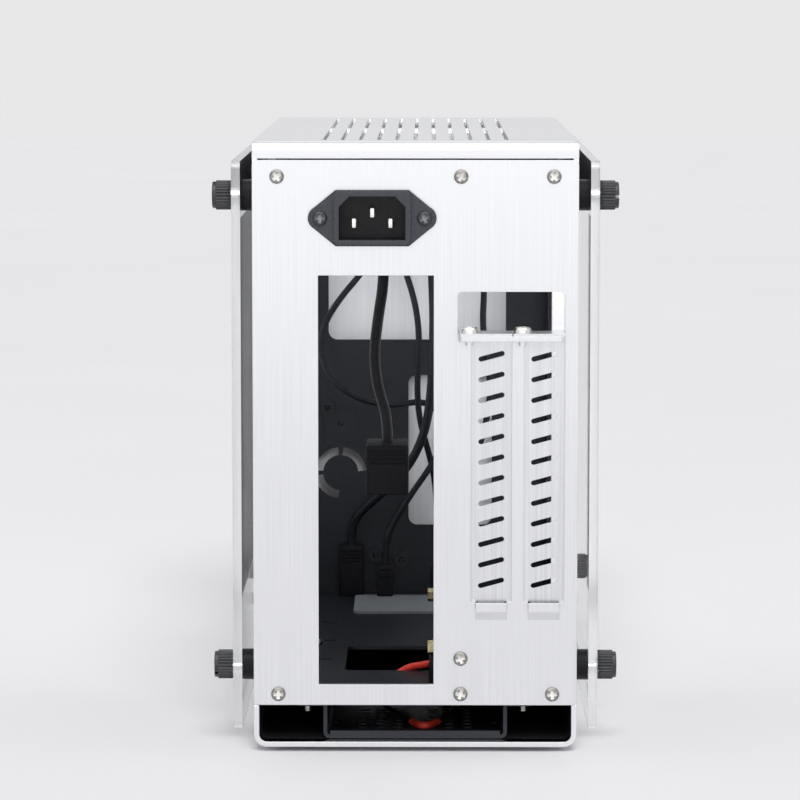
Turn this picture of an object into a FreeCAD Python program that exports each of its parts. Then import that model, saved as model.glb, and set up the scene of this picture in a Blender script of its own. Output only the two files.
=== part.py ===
import FreeCAD, Part
import math
import os
import types

import Sketcher
from FreeCAD import Placement, Rotation, Vector

# Mini-tower case for a small board, seen from its back in -Y, with +X to the right.
# Millimetres, +Z up, origin under the middle of the case at the height of its feet.

SIZES = {
    # Folded shell and lid
    "case_width": 125.0,
    "case_depth": 280.0,
    "case_height": 234.6,
    "shell_sheet": 2.0,
    "shell_bend": 5.0,
    "plate_sheet": 2.0,
    "plate_corner": 2.0,
    "lid_sheet": 2.0,
    "lid_bend": 3.5,
    "lid_drop": 6.5,
    "lid_seam": 0.6,
    "base_opening": 16.5,
    "tab_width": 15.0,
    "tab_height": 10.0,
    "edge_fold": 8.0,
    "fit_gap": 0.2,
    # Feet
    "foot_height": 2.0,
    "foot_radius": 6.0,
    "foot_inset": 22.0,
    # Windows in the side walls
    "window_margin": 26.0,
    "window_low": 44.0,
    "window_drop": 32.6,
    "window_corner": 8.0,
    # Vent slots in the lid
    "vent_count": 11,
    "vent_pitch": 7.05,
    "vent_radius": 0.8,
    "vent_margin": 16.0,
    "vent_bridge": 10.0,
    # Flanges that carry the lid
    "lid_flange_drop": 10.0,
    "lid_flange_inset": 30.0,
    "lid_screw_drop": 6.0,
    # Clear side panels on standoffs
    "acrylic_sheet": 3.5,
    "acrylic_low": 6.9,
    "acrylic_drop": 5.6,
    "acrylic_corner": 3.0,
    "standoff_length": 4.5,
    "standoff_radius": 6.0,
    "spigot_radius": 4.5,
    "knob_inset": 13.0,
    "knob_low": 30.3,
    "knob_drop": 19.1,
    "knob_radius": 5.75,
    "knob_length": 7.8,
    "knob_rim": 0.7,
    "knob_slot_width": 1.3,
    "knob_slot_depth": 1.6,
    "bolt_radius": 3.0,
    "bolt_gap": 0.4,
    # Opening for the board's connectors
    "connector_width": 44.45,
    "connector_height": 158.75,
    "connector_right": 7.1,
    "connector_low": 24.6,
    # Screws of the case
    "screw_radius": 1.5,
    "screw_hole_gap": 0.2,
    "screw_head_radius": 2.8,
    "screw_head_height": 1.8,
    "rear_screw_side": 53.0,
    "rear_screw_tray": 17.5,
    "rear_screw_low": 20.9,
    "rear_screw_middle": 34.8,
    "rear_screw_drop": 11.4,
    "blind_hole_depth": 1.4,
    # Card slots, with the shelf bent out of the rear panel
    "slot_first": 29.3,
    "slot_pitch": 20.32,
    "slot_width": 15.8,
    "slot_low": 57.0,
    "slot_high": 159.0,
    "slot_window_left": 16.2,
    "slot_window_right": 57.4,
    "slot_window_high": 177.1,
    "shelf_reach": 12.0,
    "hood_width": 12.0,
    "hood_low": 50.0,
    "hood_bend": 53.3,
    "hood_proud": 2.2,
    "hood_sheet": 1.1,
    # Slot covers
    "cover_sheet": 0.9,
    "cover_width": 18.4,
    "cover_tab_left": 12.2,
    "cover_tab_right": 7.6,
    "cover_tab_reach": 10.5,
    "cover_tongue_width": 10.0,
    "cover_tongue_drop": 9.0,
    "louvre_count": 12,
    "louvre_pitch": 8.0,
    "louvre_half_run": 4.15,
    "louvre_radius": 1.0,
    "louvre_tilt": 15.0,
    "louvre_low": 64.1,
    "cover_screw_offset": 8.65,
    "cover_screw_reach": 6.0,
    "cover_screw_head_radius": 3.4,
    "cover_screw_head_height": 2.2,
    "cover_screw_length": 4.9,
    # Mains inlet
    "inlet_across": -16.5,
    "inlet_flange_straight": 45.7,
    "inlet_flange_height": 21.5,
    "inlet_flange_top": 28.0,
    "inlet_flange_end": 7.0,
    "inlet_end_radius": 4.6,
    "inlet_flange_sheet": 2.2,
    "inlet_frame_width": 29.6,
    "inlet_frame_height": 20.6,
    "inlet_frame_proud": 1.8,
    "inlet_body_width": 28.2,
    "inlet_body_height": 19.4,
    "inlet_body_depth": 21.0,
    "inlet_recess_width": 25.4,
    "inlet_recess_height": 16.7,
    "inlet_recess_chamfer": 4.0,
    "inlet_recess_depth": 16.0,
    "inlet_screw_spacing": 40.0,
    "inlet_screw_head_radius": 2.8,
    "blade_width": 2.0,
    "blade_height": 4.0,
    "blade_length": 14.0,
    "blade_spacing": 7.0,
    "blade_line_drop": 2.0,
    "boot_width": 24.0,
    "boot_height": 15.0,
    "boot_depth": 9.0,
    "boot_relief_radius": 4.2,
    "boot_relief_length": 6.0,
    # Board tray
    "board_edge_overlap": 3.81,
    "board_sheet": 1.57,
    "board_standoff_height": 6.35,
    "board_standoff_flats": 5.0,
    "board_thread_radius": 1.5,
    "board_stud_radius": 1.4,
    "board_hole_low": 32.5,
    "board_hole_rise": 157.48,
    "board_hole_depth": 154.94,
    "board_hole_step": 22.86,
    "board_hole_first": 13.0,
    "tray_sheet": 1.5,
    "tray_depth": 196.0,
    "tray_drop": 6.6,
    "tray_tab_width": 12.0,
    "tray_tab_height": 24.0,
    "tray_window_low": 62.0,
    "tray_window_high": 160.0,
    "tray_window_start": 50.0,
    "tray_window_depth": 92.0,
    "tray_window_corner": 8.0,
    # Floor plate over the drive space
    "floor_sheet": 1.6,
    "floor_flange_height": 9.0,
    "floor_flange_inset": 34.0,
    "floor_hole_left": -28.6,
    "floor_hole_right": 9.0,
    "floor_hole_start": 66.5,
    "floor_hole_end": 124.0,
    "floor_hole_corner": 3.0,
    "floor_slit_left": -47.0,
    "floor_slit_right": -34.0,
    "floor_slit_radius": 1.3,
    "floor_slit_start": 92.0,
    "floor_slit_pitch": 45.0,
    "floor_slit_count": 3,
    "floor_pad_left": -28.0,
    "floor_pad_right": 28.0,
    "floor_pad_start": 206.0,
    "floor_pad_end": 252.0,
    "floor_pad_height": 1.2,
    "floor_screw_rise": 6.0,
    # Drive tray hung under the floor plate
    "drive_width": 71.5,
    "drive_sheet": 1.5,
    "drive_bend": 2.5,
    "drive_floor": 2.2,
    "drive_flange": 11.0,
    "drive_start": 6.0,
    "drive_length": 128.0,
    "drive_lip_height": 1.5,
    "drive_lip_margin": 1.2,
    "drive_hole_across": 61.72,
    "drive_hole_along": 76.6,
    "drive_hole_first": 24.0,
    "drive_vent_half_run": 0.6,
    "drive_vent_radius": 1.8,
    "drive_vent_pitch": 7.2,
    "drive_vent_count": 6,
    "drive_vent_across": 6.8,
    "drive_vent_first": 14.0,
    "drive_screw_across": 42.0,
    "drive_screw_inset": 6.0,
    "drive_screw_length": 6.0,
    # Sheet frame behind the front panel
    "frame_sheet": 1.5,
    "frame_setback": 8.0,
    "frame_flange": 14.0,
    "frame_post": 20.0,
    "frame_sill": 134.0,
    "frame_head": 3.5,
    "frame_corner": 4.0,
    "frame_hole_left": -4.0,
    "frame_hole_right": 34.0,
    "frame_hole_low": 49.0,
    "frame_hole_high": 118.0,
    "ring_across": -35.0,
    "ring_up": 73.0,
    "ring_radius": 11.8,
    "ring_width": 3.8,
    "ring_turn": 80.0,
    "ring_start": 4.0,
    "ring_step": 91.0,
    "ring_count": 3,
    "recess_across": -35.0,
    "recess_up": 95.0,
    "recess_side": 16.0,
    "recess_depth": 0.7,
    "boss_radius": 3.6,
    "boss_height": 1.4,
    "boss_hole_radius": 1.4,
    "frame_screw_low": 70.0,
    "frame_screw_drop": 52.6,
    # Push switch and sockets on the front panel
    "switch_drop": 28.6,
    "switch_rim_radius": 9.2,
    "switch_rim_proud": 1.4,
    "switch_barrel_radius": 8.0,
    "switch_barrel_length": 16.0,
    "switch_back_radius": 5.5,
    "switch_back_length": 6.0,
    "switch_bore_depth": 6.0,
    "switch_nut_flats": 20.0,
    "switch_nut_height": 3.0,
    "button_radius": 6.0,
    "button_gap": 0.3,
    "button_proud": 2.0,
    "button_length": 5.0,
    "button_edge": 0.5,
    "socket_width": 13.2,
    "socket_height": 5.8,
    "socket_wall": 0.4,
    "socket_depth": 14.0,
    "socket_spacing": 20.0,
    "socket_drop": 52.6,
    "socket_lead_rise": 0.1,
    "socket_tongue_height": 1.9,
    "socket_tongue_width": 10.6,
    "usb_board_width": 40.0,
    "usb_board_sheet": 1.6,
    "usb_board_length": 24.0,
    "usb_header_width": 12.0,
    "usb_header_length": 8.0,
    "usb_header_height": 6.0,
    "usb_bracket_sheet": 1.2,
    "usb_bracket_drop": 12.0,
    # Loose leads and what is on them
    "inlet_lead_radius": 2.2,
    "inlet_plug_width": 17.0,
    "inlet_plug_depth": 26.0,
    "inlet_plug_height": 20.0,
    "usb_lead_radius": 2.0,
    "usb_plug_width": 11.0,
    "usb_plug_depth": 12.0,
    "usb_plug_height": 23.0,
    "thin_lead_radius": 1.4,
    "thin_plug_width": 7.0,
    "thin_plug_depth": 4.0,
    "thin_plug_height": 14.0,
    "data_lead_radius": 1.5,
    "data_plug_width": 10.5,
    "data_plug_length": 18.0,
    "data_plug_height": 5.5,
    "plug_corner": 2.0,
}

doc = FreeCAD.newDocument("MiniTowerCase")
sheet = doc.addObject("Spreadsheet::Sheet", "Sizes")
for row, (alias, value) in enumerate(SIZES.items(), start=1):
    sheet.set(f"A{row}", alias)
    sheet.set(f"B{row}", str(value))
    sheet.setAlias(f"B{row}", alias)
doc.recompute()


class Size:
    """A length that knows its number and the sheet formula that gives it."""

    def __init__(self, number, formula):
        self.number = number
        self.formula = formula

    def __add__(self, other):
        other = as_size(other)
        return Size(self.number + other.number, f"({self.formula} + {other.formula})")

    def __sub__(self, other):
        other = as_size(other)
        return Size(self.number - other.number, f"({self.formula} - {other.formula})")

    def __mul__(self, other):
        other = as_size(other)
        return Size(self.number * other.number, f"({self.formula} * {other.formula})")

    def __truediv__(self, other):
        other = as_size(other)
        return Size(self.number / other.number, f"({self.formula} / {other.formula})")

    def __neg__(self):
        return Size(-self.number, f"(-1 * {self.formula})")


def as_size(value):
    """Any number as a Size."""
    if isinstance(value, Size):
        return value
    return Size(float(value), f"({float(value)})")


s = types.SimpleNamespace()
for alias in SIZES:
    setattr(s, alias, Size(float(sheet.get(alias)), f"Sizes.{alias}"))

ZERO = as_size(0)

# Planes that most pieces share
half = s.case_width / 2
inner_half = half - s.shell_sheet
rear = (s.shelf_reach - s.case_depth - s.button_proud) / 2
front = rear + s.case_depth
base = s.foot_height
top = base + s.case_height
lid_underside = top - s.lid_sheet
flange_low = top - s.lid_drop
panel_low = base + s.base_opening
panel_high = flange_low - s.lid_seam
inner_rear = rear + s.plate_sheet
inner_front = front - s.plate_sheet
screw_hole = s.screw_radius + s.screw_hole_gap
floor_low = panel_low
floor_high = floor_low + s.floor_sheet
frame_face = inner_front - s.frame_setback
frame_back = frame_face - s.frame_sheet
rear_screw_high = lid_underside - s.rear_screw_drop
switch_up = lid_underside - s.switch_drop
socket_up = lid_underside - s.socket_drop


def bind(thing, name, size):
    """Tie one property to its sheet formula."""
    thing.setExpression(name, as_size(size).formula)


def new_body(label):
    """An empty body with its label."""
    body = doc.addObject("PartDesign::Body", label)
    body.Label = label
    return body


def origin_feature(body, role):
    """One of the body's own origin planes or axes."""
    return [feature for feature in body.Origin.OriginFeatures if feature.Role == role][0]


def new_sketch(body, plane, level):
    """A sketch parallel to one of the body's planes, at a bound level along its axis."""
    sketch = body.newObject("Sketcher::SketchObject", f"{body.Label}_sketch")
    sketch.AttachmentSupport = [(origin_feature(body, f"{plane}_Plane"), "")]
    sketch.MapMode = "FlatFace"
    bind(sketch, "AttachmentOffset.Base.z", -as_size(level) if plane == "XZ" else level)
    return sketch


def limit(sketch, kind, *where, size):
    """One driving constraint bound to the sheet."""
    index = sketch.addConstraint(Sketcher.Constraint(kind, *where, size.number))
    sketch.setExpression(f"Constraints[{index}]", size.formula)


def hold(sketch, geometry, point, across, up):
    """Hold a point of a sketch at a bound place."""
    limit(sketch, "DistanceX", -1, 1, geometry, point, size=as_size(across))
    limit(sketch, "DistanceY", -1, 1, geometry, point, size=as_size(up))


def flat(across, up):
    """A point of a sketch as a vector."""
    return Vector(as_size(across).number, as_size(up).number, 0)


def arc_between(sketch, before, after, middle, start, end):
    """A tangent arc from the end of one side to the start of the next, about a middle point."""
    middle, start, end = flat(*middle), flat(*start), flat(*end)
    first, last = start - middle, end - middle
    left_turn = first.cross(last).z > 0
    low, high = (first, last) if left_turn else (last, first)
    low_angle = math.atan2(low.y, low.x)
    high_angle = math.atan2(high.y, high.x)
    if high_angle < low_angle:
        high_angle += 2 * math.pi
    circle_line = Part.Circle(middle, Vector(0, 0, 1), first.Length)
    arc = sketch.addGeometry(Part.ArcOfCircle(circle_line, low_angle, high_angle))
    entry, leave = (1, 2) if left_turn else (2, 1)
    sketch.addConstraint(Sketcher.Constraint("Tangent", before, 2, arc, entry))
    sketch.addConstraint(Sketcher.Constraint("Coincident", arc, leave, after, 1))


def heading(start, end):
    """Direction of a square side, as -1, 0 or 1 along each axis."""
    run = flat(*end) - flat(*start)
    across = (run.x > 1e-6) - (run.x < -1e-6)
    up = (run.y > 1e-6) - (run.y < -1e-6)
    return across, up


def step(point, direction, distance):
    """A point moved along a square direction."""
    return tuple(as_size(place) + distance * way if way else place for place, way in zip(point, direction))


def outline(*corners):
    """Closed outline through corners (across, up); a third value rounds a square corner."""

    def draw(sketch):
        points = [corner[:2] for corner in corners]
        radii = [as_size(corner[2]) if len(corner) > 2 else None for corner in corners]
        count = len(corners)
        ways = [heading(points[i], points[(i + 1) % count]) for i in range(count)]
        back = [tuple(-way for way in pair) for pair in ways]
        starts = [step(points[i], ways[i], radii[i]) if radii[i] else points[i] for i in range(count)]
        ends = []
        for i in range(count):
            follow = (i + 1) % count
            ends.append(step(points[follow], back[i], radii[follow]) if radii[follow] else points[follow])
        sides = [sketch.addGeometry(Part.LineSegment(flat(*a), flat(*b))) for a, b in zip(starts, ends)]
        for i in range(count):
            follow = (i + 1) % count
            hold(sketch, sides[i], 1, *starts[i])
            if radii[follow]:
                hold(sketch, sides[i], 2, *ends[i])
                middle = step(ends[i], ways[follow], radii[follow])
                arc_between(sketch, sides[i], sides[follow], middle, ends[i], starts[follow])
            else:
                sketch.addConstraint(Sketcher.Constraint("Coincident", sides[i], 2, sides[follow], 1))

    return draw


def rectangle(left, low, right, high, radius=None):
    """A rectangle, with its corners rounded if a radius is given."""
    corners = [(left, low), (right, low), (right, high), (left, high)]
    if radius is not None:
        corners = [(*corner, radius) for corner in corners]
    return outline(*corners)


def circle(across, up, radius):
    """A circle about a bound centre."""

    def draw(sketch):
        size = as_size(radius)
        index = sketch.addGeometry(Part.Circle(flat(across, up), Vector(0, 0, 1), size.number))
        hold(sketch, index, 3, across, up)
        limit(sketch, "Radius", index, size=size)

    return draw


def obround(across, up, half_run, radius, upright=False):
    """A slot with round ends, half_run from its middle to each end's centre."""

    def draw(sketch):
        along = (0, 1) if upright else (1, 0)
        aside = (-1, 0) if upright else (0, 1)
        centre = (as_size(across), as_size(up))
        far = step(centre, along, half_run)
        near = step(centre, along, -half_run)
        away = tuple(-way for way in aside)
        first = (step(near, away, radius), step(far, away, radius))
        second = (step(far, aside, radius), step(near, aside, radius))
        sides = [sketch.addGeometry(Part.LineSegment(flat(*a), flat(*b))) for a, b in (first, second)]
        for side, (start, end) in zip(sides, (first, second)):
            hold(sketch, side, 1, *start)
            hold(sketch, side, 2, *end)
        for i, middle in ((0, far), (1, near)):
            half_circle(sketch, sides[i], sides[1 - i], middle, (first, second)[i][1])

    return draw


def half_circle(sketch, before, after, middle, start):
    """The half round that closes one end of a slot."""
    middle, start = flat(*middle), flat(*start)
    first = start - middle
    angle = math.atan2(first.y, first.x)
    circle_line = Part.Circle(middle, Vector(0, 0, 1), first.Length)
    arc = sketch.addGeometry(Part.ArcOfCircle(circle_line, angle, angle + math.pi))
    sketch.addConstraint(Sketcher.Constraint("Tangent", before, 2, arc, 1))
    sketch.addConstraint(Sketcher.Constraint("Coincident", arc, 2, after, 1))


def pad(body, plane, low, high, *drawings):
    """Add what is drawn, between two levels along the plane's axis."""
    sketch = new_sketch(body, plane, high if plane == "XZ" else low)
    for draw in drawings:
        draw(sketch)
    feature = body.newObject("PartDesign::Pad", f"{body.Label}_pad")
    feature.Profile = sketch
    bind(feature, "Length", as_size(high) - low)
    return feature


def pocket(body, plane, low, high, *drawings):
    """Cut what is drawn, between two levels along the plane's axis."""
    sketch = new_sketch(body, plane, low if plane == "XZ" else high)
    for draw in drawings:
        draw(sketch)
    feature = body.newObject("PartDesign::Pocket", f"{body.Label}_pocket")
    feature.Profile = sketch
    bind(feature, "Length", as_size(high) - low)
    return feature


def repeat(body, feature, axis, length, count):
    """Copy a feature evenly along one of the body's axes."""
    pattern = body.newObject("PartDesign::LinearPattern", f"{body.Label}_pattern")
    pattern.Originals = [feature]
    pattern.Direction = (origin_feature(body, f"{axis}_Axis"), [""])
    bind(pattern, "Length", length)
    bind(pattern, "Occurrences", count)
    body.Tip = pattern
    return pattern


def turned(label, *profile):
    """A body turned about its own Z axis from corners (radius, height)."""
    body = new_body(label)
    sketch = new_sketch(body, "XZ", ZERO)
    outline(*profile)(sketch)
    turn = body.newObject("PartDesign::Revolution", f"{label}_turn")
    turn.Profile = sketch
    turn.ReferenceAxis = (sketch, ["V_Axis"])
    turn.Angle = 360
    return body


def place(thing, across, along, up, rotation=None):
    """Put a piece at a bound place, turned as given."""
    thing.Placement = Placement(Vector(), rotation or Rotation())
    bind(thing, "Placement.Base.x", across)
    bind(thing, "Placement.Base.y", along)
    bind(thing, "Placement.Base.z", up)


def group(label, members):
    """Several like pieces in one node."""
    compound = doc.addObject("Part::Compound", label)
    compound.Label = label
    compound.Links = members
    return compound


# A turned piece's own +Z axis, pointed along each way of the case
FACING = {
    "-X": Rotation(Vector(0, 1, 0), -90),
    "+X": Rotation(Vector(0, 1, 0), 90),
    "-Y": Rotation(Vector(1, 0, 0), 90),
    "+Y": Rotation(Vector(1, 0, 0), -90),
    "+Z": Rotation(),
}


def screws(label, facing, places, length, head_radius=None, head_height=None):
    """Pan-head screws whose heads sit on the given points and face one way, or out of both walls."""
    head_radius = head_radius or s.screw_head_radius
    head_height = head_height or s.screw_head_height
    members = []
    for number, spot in enumerate(places, start=1):
        profile = (
            (ZERO, -length),
            (s.screw_radius, -length),
            (s.screw_radius, ZERO),
            (head_radius, ZERO),
            (head_radius, head_height / 2),
            (head_radius / 2, head_height),
            (ZERO, head_height),
        )
        screw = turned(f"{label}_{number}", *profile)
        outward = "-X" if spot[0].number < 0 else "+X"
        place(screw, *spot, FACING[outward if facing == "out" else facing])
        members.append(screw)
    return group(label, members)


# Shell

SIDES = {"left": -1, "right": 1}
KNOB_ALONG = {"rear": rear + s.knob_inset, "front": front - s.knob_inset}
KNOB_UP = {"low": base + s.knob_low, "high": lid_underside - s.knob_drop}
KNOB_PLACES = [(along, up) for along in KNOB_ALONG.values() for up in KNOB_UP.values()]
LID_SCREW_UP = lid_underside - s.lid_screw_drop
LID_SCREW_ALONG = (rear + s.lid_flange_inset * 2, front - s.lid_flange_inset * 2)
FLOOR_SCREW_UP = floor_high + s.floor_screw_rise
FLOOR_SCREW_ALONG = (rear + s.floor_flange_inset * 2, front - s.floor_flange_inset * 2)
FRAME_SCREW_UP = (base + s.frame_screw_low, lid_underside - s.frame_screw_drop)
FRAME_SCREW_ALONG = frame_back - s.frame_flange / 2
TAB_LOW = floor_high + s.fit_gap
TAB_HIGH = panel_high


def channel(half_width, low, high, thickness, bend):
    """Section of a sheet folded into a square channel that is open above."""
    inner = half_width - thickness
    inner_bend = bend - thickness
    return outline(
        (-half_width, high),
        (-half_width, low, bend),
        (half_width, low, bend),
        (half_width, high),
        (inner, high),
        (inner, low + thickness, inner_bend),
        (-inner, low + thickness, inner_bend),
        (-inner, high),
    )


def corner_tabs():
    """The four tabs folded inwards that an end panel is screwed to."""
    tabs = []
    for side in SIDES.values():
        edges = sorted((inner_half * side, (inner_half - s.tab_width) * side), key=lambda edge: edge.number)
        tabs.append(rectangle(edges[0], TAB_LOW, edges[1], TAB_LOW + s.tab_height))
        tabs.append(rectangle(edges[0], TAB_HIGH - s.tab_height, edges[1], TAB_HIGH))
    return tabs


def end_screw_places(along):
    """Where the four corner screws of an end panel go."""
    ups = (base + s.rear_screw_low, rear_screw_high)
    return [(s.rear_screw_side * side, along, up) for side in SIDES.values() for up in ups]


def make_base_shell():
    body = new_body("base_shell")
    pad(body, "XZ", inner_rear, inner_front, channel(half, base, lid_underside, s.shell_sheet, s.shell_bend))
    lip_high = panel_low - s.fit_gap
    pad(body, "XZ", rear, inner_rear, channel(half, base, lip_high, s.shell_sheet, s.shell_bend))
    pad(body, "XZ", inner_rear, inner_rear + s.shell_sheet, *corner_tabs())
    pad(body, "XZ", inner_front - s.shell_sheet, inner_front, *corner_tabs())
    fold_start = inner_rear + s.cover_sheet + s.fit_gap
    fold_low, fold_high = TAB_LOW + s.tab_height, TAB_HIGH - s.tab_height
    fold_edge = inner_half - s.edge_fold
    right_fold = rectangle(fold_edge, fold_low, inner_half, fold_high)
    left_fold = rectangle(-inner_half, fold_low, -fold_edge, fold_high)
    pad(body, "XZ", fold_start, fold_start + s.shell_sheet, left_fold, right_fold)
    window = rectangle(
        rear + s.window_margin,
        base + s.window_low,
        front - s.window_margin,
        lid_underside - s.window_drop,
        s.window_corner,
    )
    notch = s.lid_bend - s.lid_sheet + s.fit_gap
    rear_notch = rectangle(inner_rear, lid_underside - notch, inner_rear + notch, lid_underside)
    front_notch = rectangle(inner_front - notch, lid_underside - notch, inner_front, lid_underside)
    spigots = [circle(along, up, s.spigot_radius + s.fit_gap / 2) for along, up in KNOB_PLACES]
    lid_holes = [circle(along, LID_SCREW_UP, screw_hole) for along in LID_SCREW_ALONG]
    floor_holes = [circle(along, FLOOR_SCREW_UP, screw_hole) for along in FLOOR_SCREW_ALONG]
    frame_holes = [circle(FRAME_SCREW_ALONG, up, screw_hole) for up in FRAME_SCREW_UP]
    pocket(body, "YZ", -half, half, window)
    pocket(body, "YZ", -half, half, rear_notch, front_notch)
    pocket(body, "YZ", -half, half, *spigots)
    pocket(body, "YZ", -half, half, *lid_holes, *floor_holes, *frame_holes)
    corners = [circle(spot[0], spot[2], screw_hole) for spot in end_screw_places(rear)]
    pocket(body, "XZ", inner_rear, inner_rear + s.shell_sheet, *corners)
    pocket(body, "XZ", inner_front - s.shell_sheet, inner_front, *corners)
    return body


def make_top_cover():
    body = new_body("top_cover")
    bend, inner_bend = s.lid_bend, s.lid_bend - s.lid_sheet
    fold = outline(
        (rear, flange_low),
        (inner_rear, flange_low),
        (inner_rear, lid_underside, inner_bend),
        (inner_front, lid_underside, inner_bend),
        (inner_front, flange_low),
        (front, flange_low),
        (front, top, bend),
        (rear, top, bend),
    )
    pad(body, "YZ", -half, half, fold)
    flange = rectangle(
        rear + s.lid_flange_inset,
        lid_underside - s.lid_flange_drop,
        front - s.lid_flange_inset,
        lid_underside,
    )
    pad(body, "YZ", inner_half - s.lid_sheet, inner_half, flange)
    pad(body, "YZ", -inner_half, s.lid_sheet - inner_half, flange)
    lid_holes = [circle(along, LID_SCREW_UP, screw_hole) for along in LID_SCREW_ALONG]
    pocket(body, "YZ", -inner_half, inner_half, *lid_holes)
    first = -s.vent_pitch * (s.vent_count - 1) / 2
    half_run = (s.case_depth / 2 - s.vent_margin - s.vent_bridge / 2) / 2 - s.vent_radius
    middle = (front + rear) / 2
    offset = s.vent_bridge / 2 + s.vent_radius + half_run
    vents = [obround(first, middle + offset * way, half_run, s.vent_radius, upright=True) for way in (-1, 1)]
    slots = pocket(body, "XY", lid_underside, top, *vents)
    repeat(body, slots, "X", s.vent_pitch * (s.vent_count - 1), s.vent_count)
    return body


SLOT_MIDDLES = (s.slot_first, s.slot_first + s.slot_pitch)
shelf_low = base + s.slot_high
shelf_high = shelf_low + s.plate_sheet
tray_face = s.connector_right - s.board_edge_overlap + s.board_sheet + s.board_standoff_height
connector_top = base + s.connector_low + s.connector_height
inlet_up = (connector_top + panel_high) / 2
cover_screw_along = rear - s.cover_screw_reach
TRAY_SCREW_UPS = (base + s.rear_screw_low, base + s.rear_screw_middle, rear_screw_high)
TRAY_SCREW_PLACES = [(s.rear_screw_tray, rear, up) for up in TRAY_SCREW_UPS]
INLET_SCREW_ACROSS = [s.inlet_across + s.inlet_screw_spacing / 2 * way for way in (-1, 1)]


def make_rear_panel():
    body = new_body("rear_panel")
    plate = rectangle(-half, panel_low, half, panel_high, s.plate_corner)
    pad(body, "XZ", rear, inner_rear, plate)
    connector = rectangle(
        s.connector_right - s.connector_width,
        base + s.connector_low,
        s.connector_right,
        connector_top,
    )
    half_hole = s.inlet_body_width / 2 + s.fit_gap
    inlet = rectangle(
        s.inlet_across - half_hole,
        inlet_up - s.inlet_body_height / 2 - s.fit_gap,
        s.inlet_across + half_hole,
        inlet_up + s.inlet_body_height / 2 + s.fit_gap,
    )
    slots = [
        rectangle(middle - s.slot_width / 2, base + s.slot_low, middle + s.slot_width / 2, shelf_low)
        for middle in SLOT_MIDDLES
    ]
    card_window = outline(
        (s.slot_window_left, shelf_high),
        (s.slot_window_right, shelf_high),
        (s.slot_window_right, base + s.slot_window_high, s.plate_corner),
        (s.slot_window_left, base + s.slot_window_high, s.plate_corner),
    )
    pocket(body, "XZ", rear, inner_rear, connector)
    pocket(body, "XZ", rear, inner_rear, inlet)
    pocket(body, "XZ", rear, inner_rear, card_window, *slots)
    places = end_screw_places(rear) + TRAY_SCREW_PLACES
    screw_holes = [circle(spot[0], spot[2], screw_hole) for spot in places]
    pocket(body, "XZ", rear, inner_rear, *screw_holes)
    inlet_holes = [circle(across, inlet_up, screw_hole) for across in INLET_SCREW_ACROSS]
    pocket(body, "XZ", rear, inner_rear, *inlet_holes)
    shelf = outline(
        (s.slot_window_left + s.fit_gap, rear),
        (s.slot_window_left + s.fit_gap, rear - s.shelf_reach, s.plate_corner),
        (s.slot_window_right - s.fit_gap, rear - s.shelf_reach, s.plate_corner),
        (s.slot_window_right - s.fit_gap, rear),
    )
    pad(body, "XY", shelf_low, shelf_high, shelf)
    holes = [circle(middle - s.cover_screw_offset, cover_screw_along, screw_hole) for middle in SLOT_MIDDLES]
    pocket(body, "XY", shelf_low, shelf_high, *holes)
    add_hoods(body)
    return body


def add_hoods(body):
    """Lanced hoods that bulge outwards under each slot to take the foot of a card."""
    hood_high = base + s.slot_low - s.fit_gap
    left = s.slot_first - s.hood_width / 2
    gap = rectangle(left, base + s.hood_bend, left + s.hood_width, base + s.slot_low)
    opening = pocket(body, "XZ", rear, inner_rear, gap)
    repeat(body, opening, "X", s.slot_pitch, as_size(2))
    section = outline(
        (inner_rear, base + s.hood_low),
        (rear, base + s.hood_low),
        (rear - s.hood_proud, base + s.hood_bend),
        (rear - s.hood_proud, hood_high),
        (rear - s.hood_proud + s.hood_sheet, hood_high),
        (rear - s.hood_proud + s.hood_sheet, base + s.hood_bend + s.hood_sheet),
        (inner_rear, base + s.hood_bend),
    )
    hood = pad(body, "YZ", left, left + s.hood_width, section)
    repeat(body, hood, "X", s.slot_pitch, as_size(2))


def make_slot_cover(number, middle):
    body = new_body(f"slot_cover_{number}")
    inside = inner_rear + s.cover_sheet
    tab_high = shelf_high + s.cover_sheet
    left, right = middle - s.cover_width / 2, middle + s.cover_width / 2
    pad(body, "XZ", inner_rear, inside, rectangle(left, base + s.slot_low - s.fit_gap, right, tab_high))
    tongue_left, tongue_right = middle - s.cover_tongue_width / 2, middle + s.cover_tongue_width / 2
    tongue_low = base + s.slot_low - s.cover_tongue_drop
    tongue = outline(
        (tongue_left + s.cover_sheet, tongue_low),
        (tongue_right - s.cover_sheet, tongue_low),
        (tongue_right, tongue_low + s.cover_sheet),
        (tongue_right, base + s.slot_low),
        (tongue_left, base + s.slot_low),
        (tongue_left, tongue_low + s.cover_sheet),
    )
    pad(body, "XZ", inner_rear, inside, tongue)
    tab_left, tab_right = middle - s.cover_tab_left, middle + s.cover_tab_right
    tab = outline(
        (tab_left, rear - s.cover_tab_reach),
        (tab_right, rear - s.cover_tab_reach),
        (tab_right, inside),
        (left, inside),
        (left, inner_rear - s.fit_gap),
        (tab_left, inner_rear - s.fit_gap),
    )
    pad(body, "XY", shelf_high, tab_high, tab)
    hole = circle(middle - s.cover_screw_offset, cover_screw_along, screw_hole)
    pocket(body, "XY", shelf_high, tab_high, hole)
    louvre = pocket(body, "XZ", inner_rear, inside, obround(ZERO, ZERO, s.louvre_half_run, s.louvre_radius))
    louvre.Profile[0].setExpression("AttachmentOffset.Base.x", middle.formula)
    louvre.Profile[0].setExpression("AttachmentOffset.Base.y", (base + s.louvre_low).formula)
    louvre.Profile[0].setExpression("AttachmentOffset.Rotation.Angle", s.louvre_tilt.formula)
    repeat(body, louvre, "Z", s.louvre_pitch * (s.louvre_count - 1), s.louvre_count)
    return body


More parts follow.
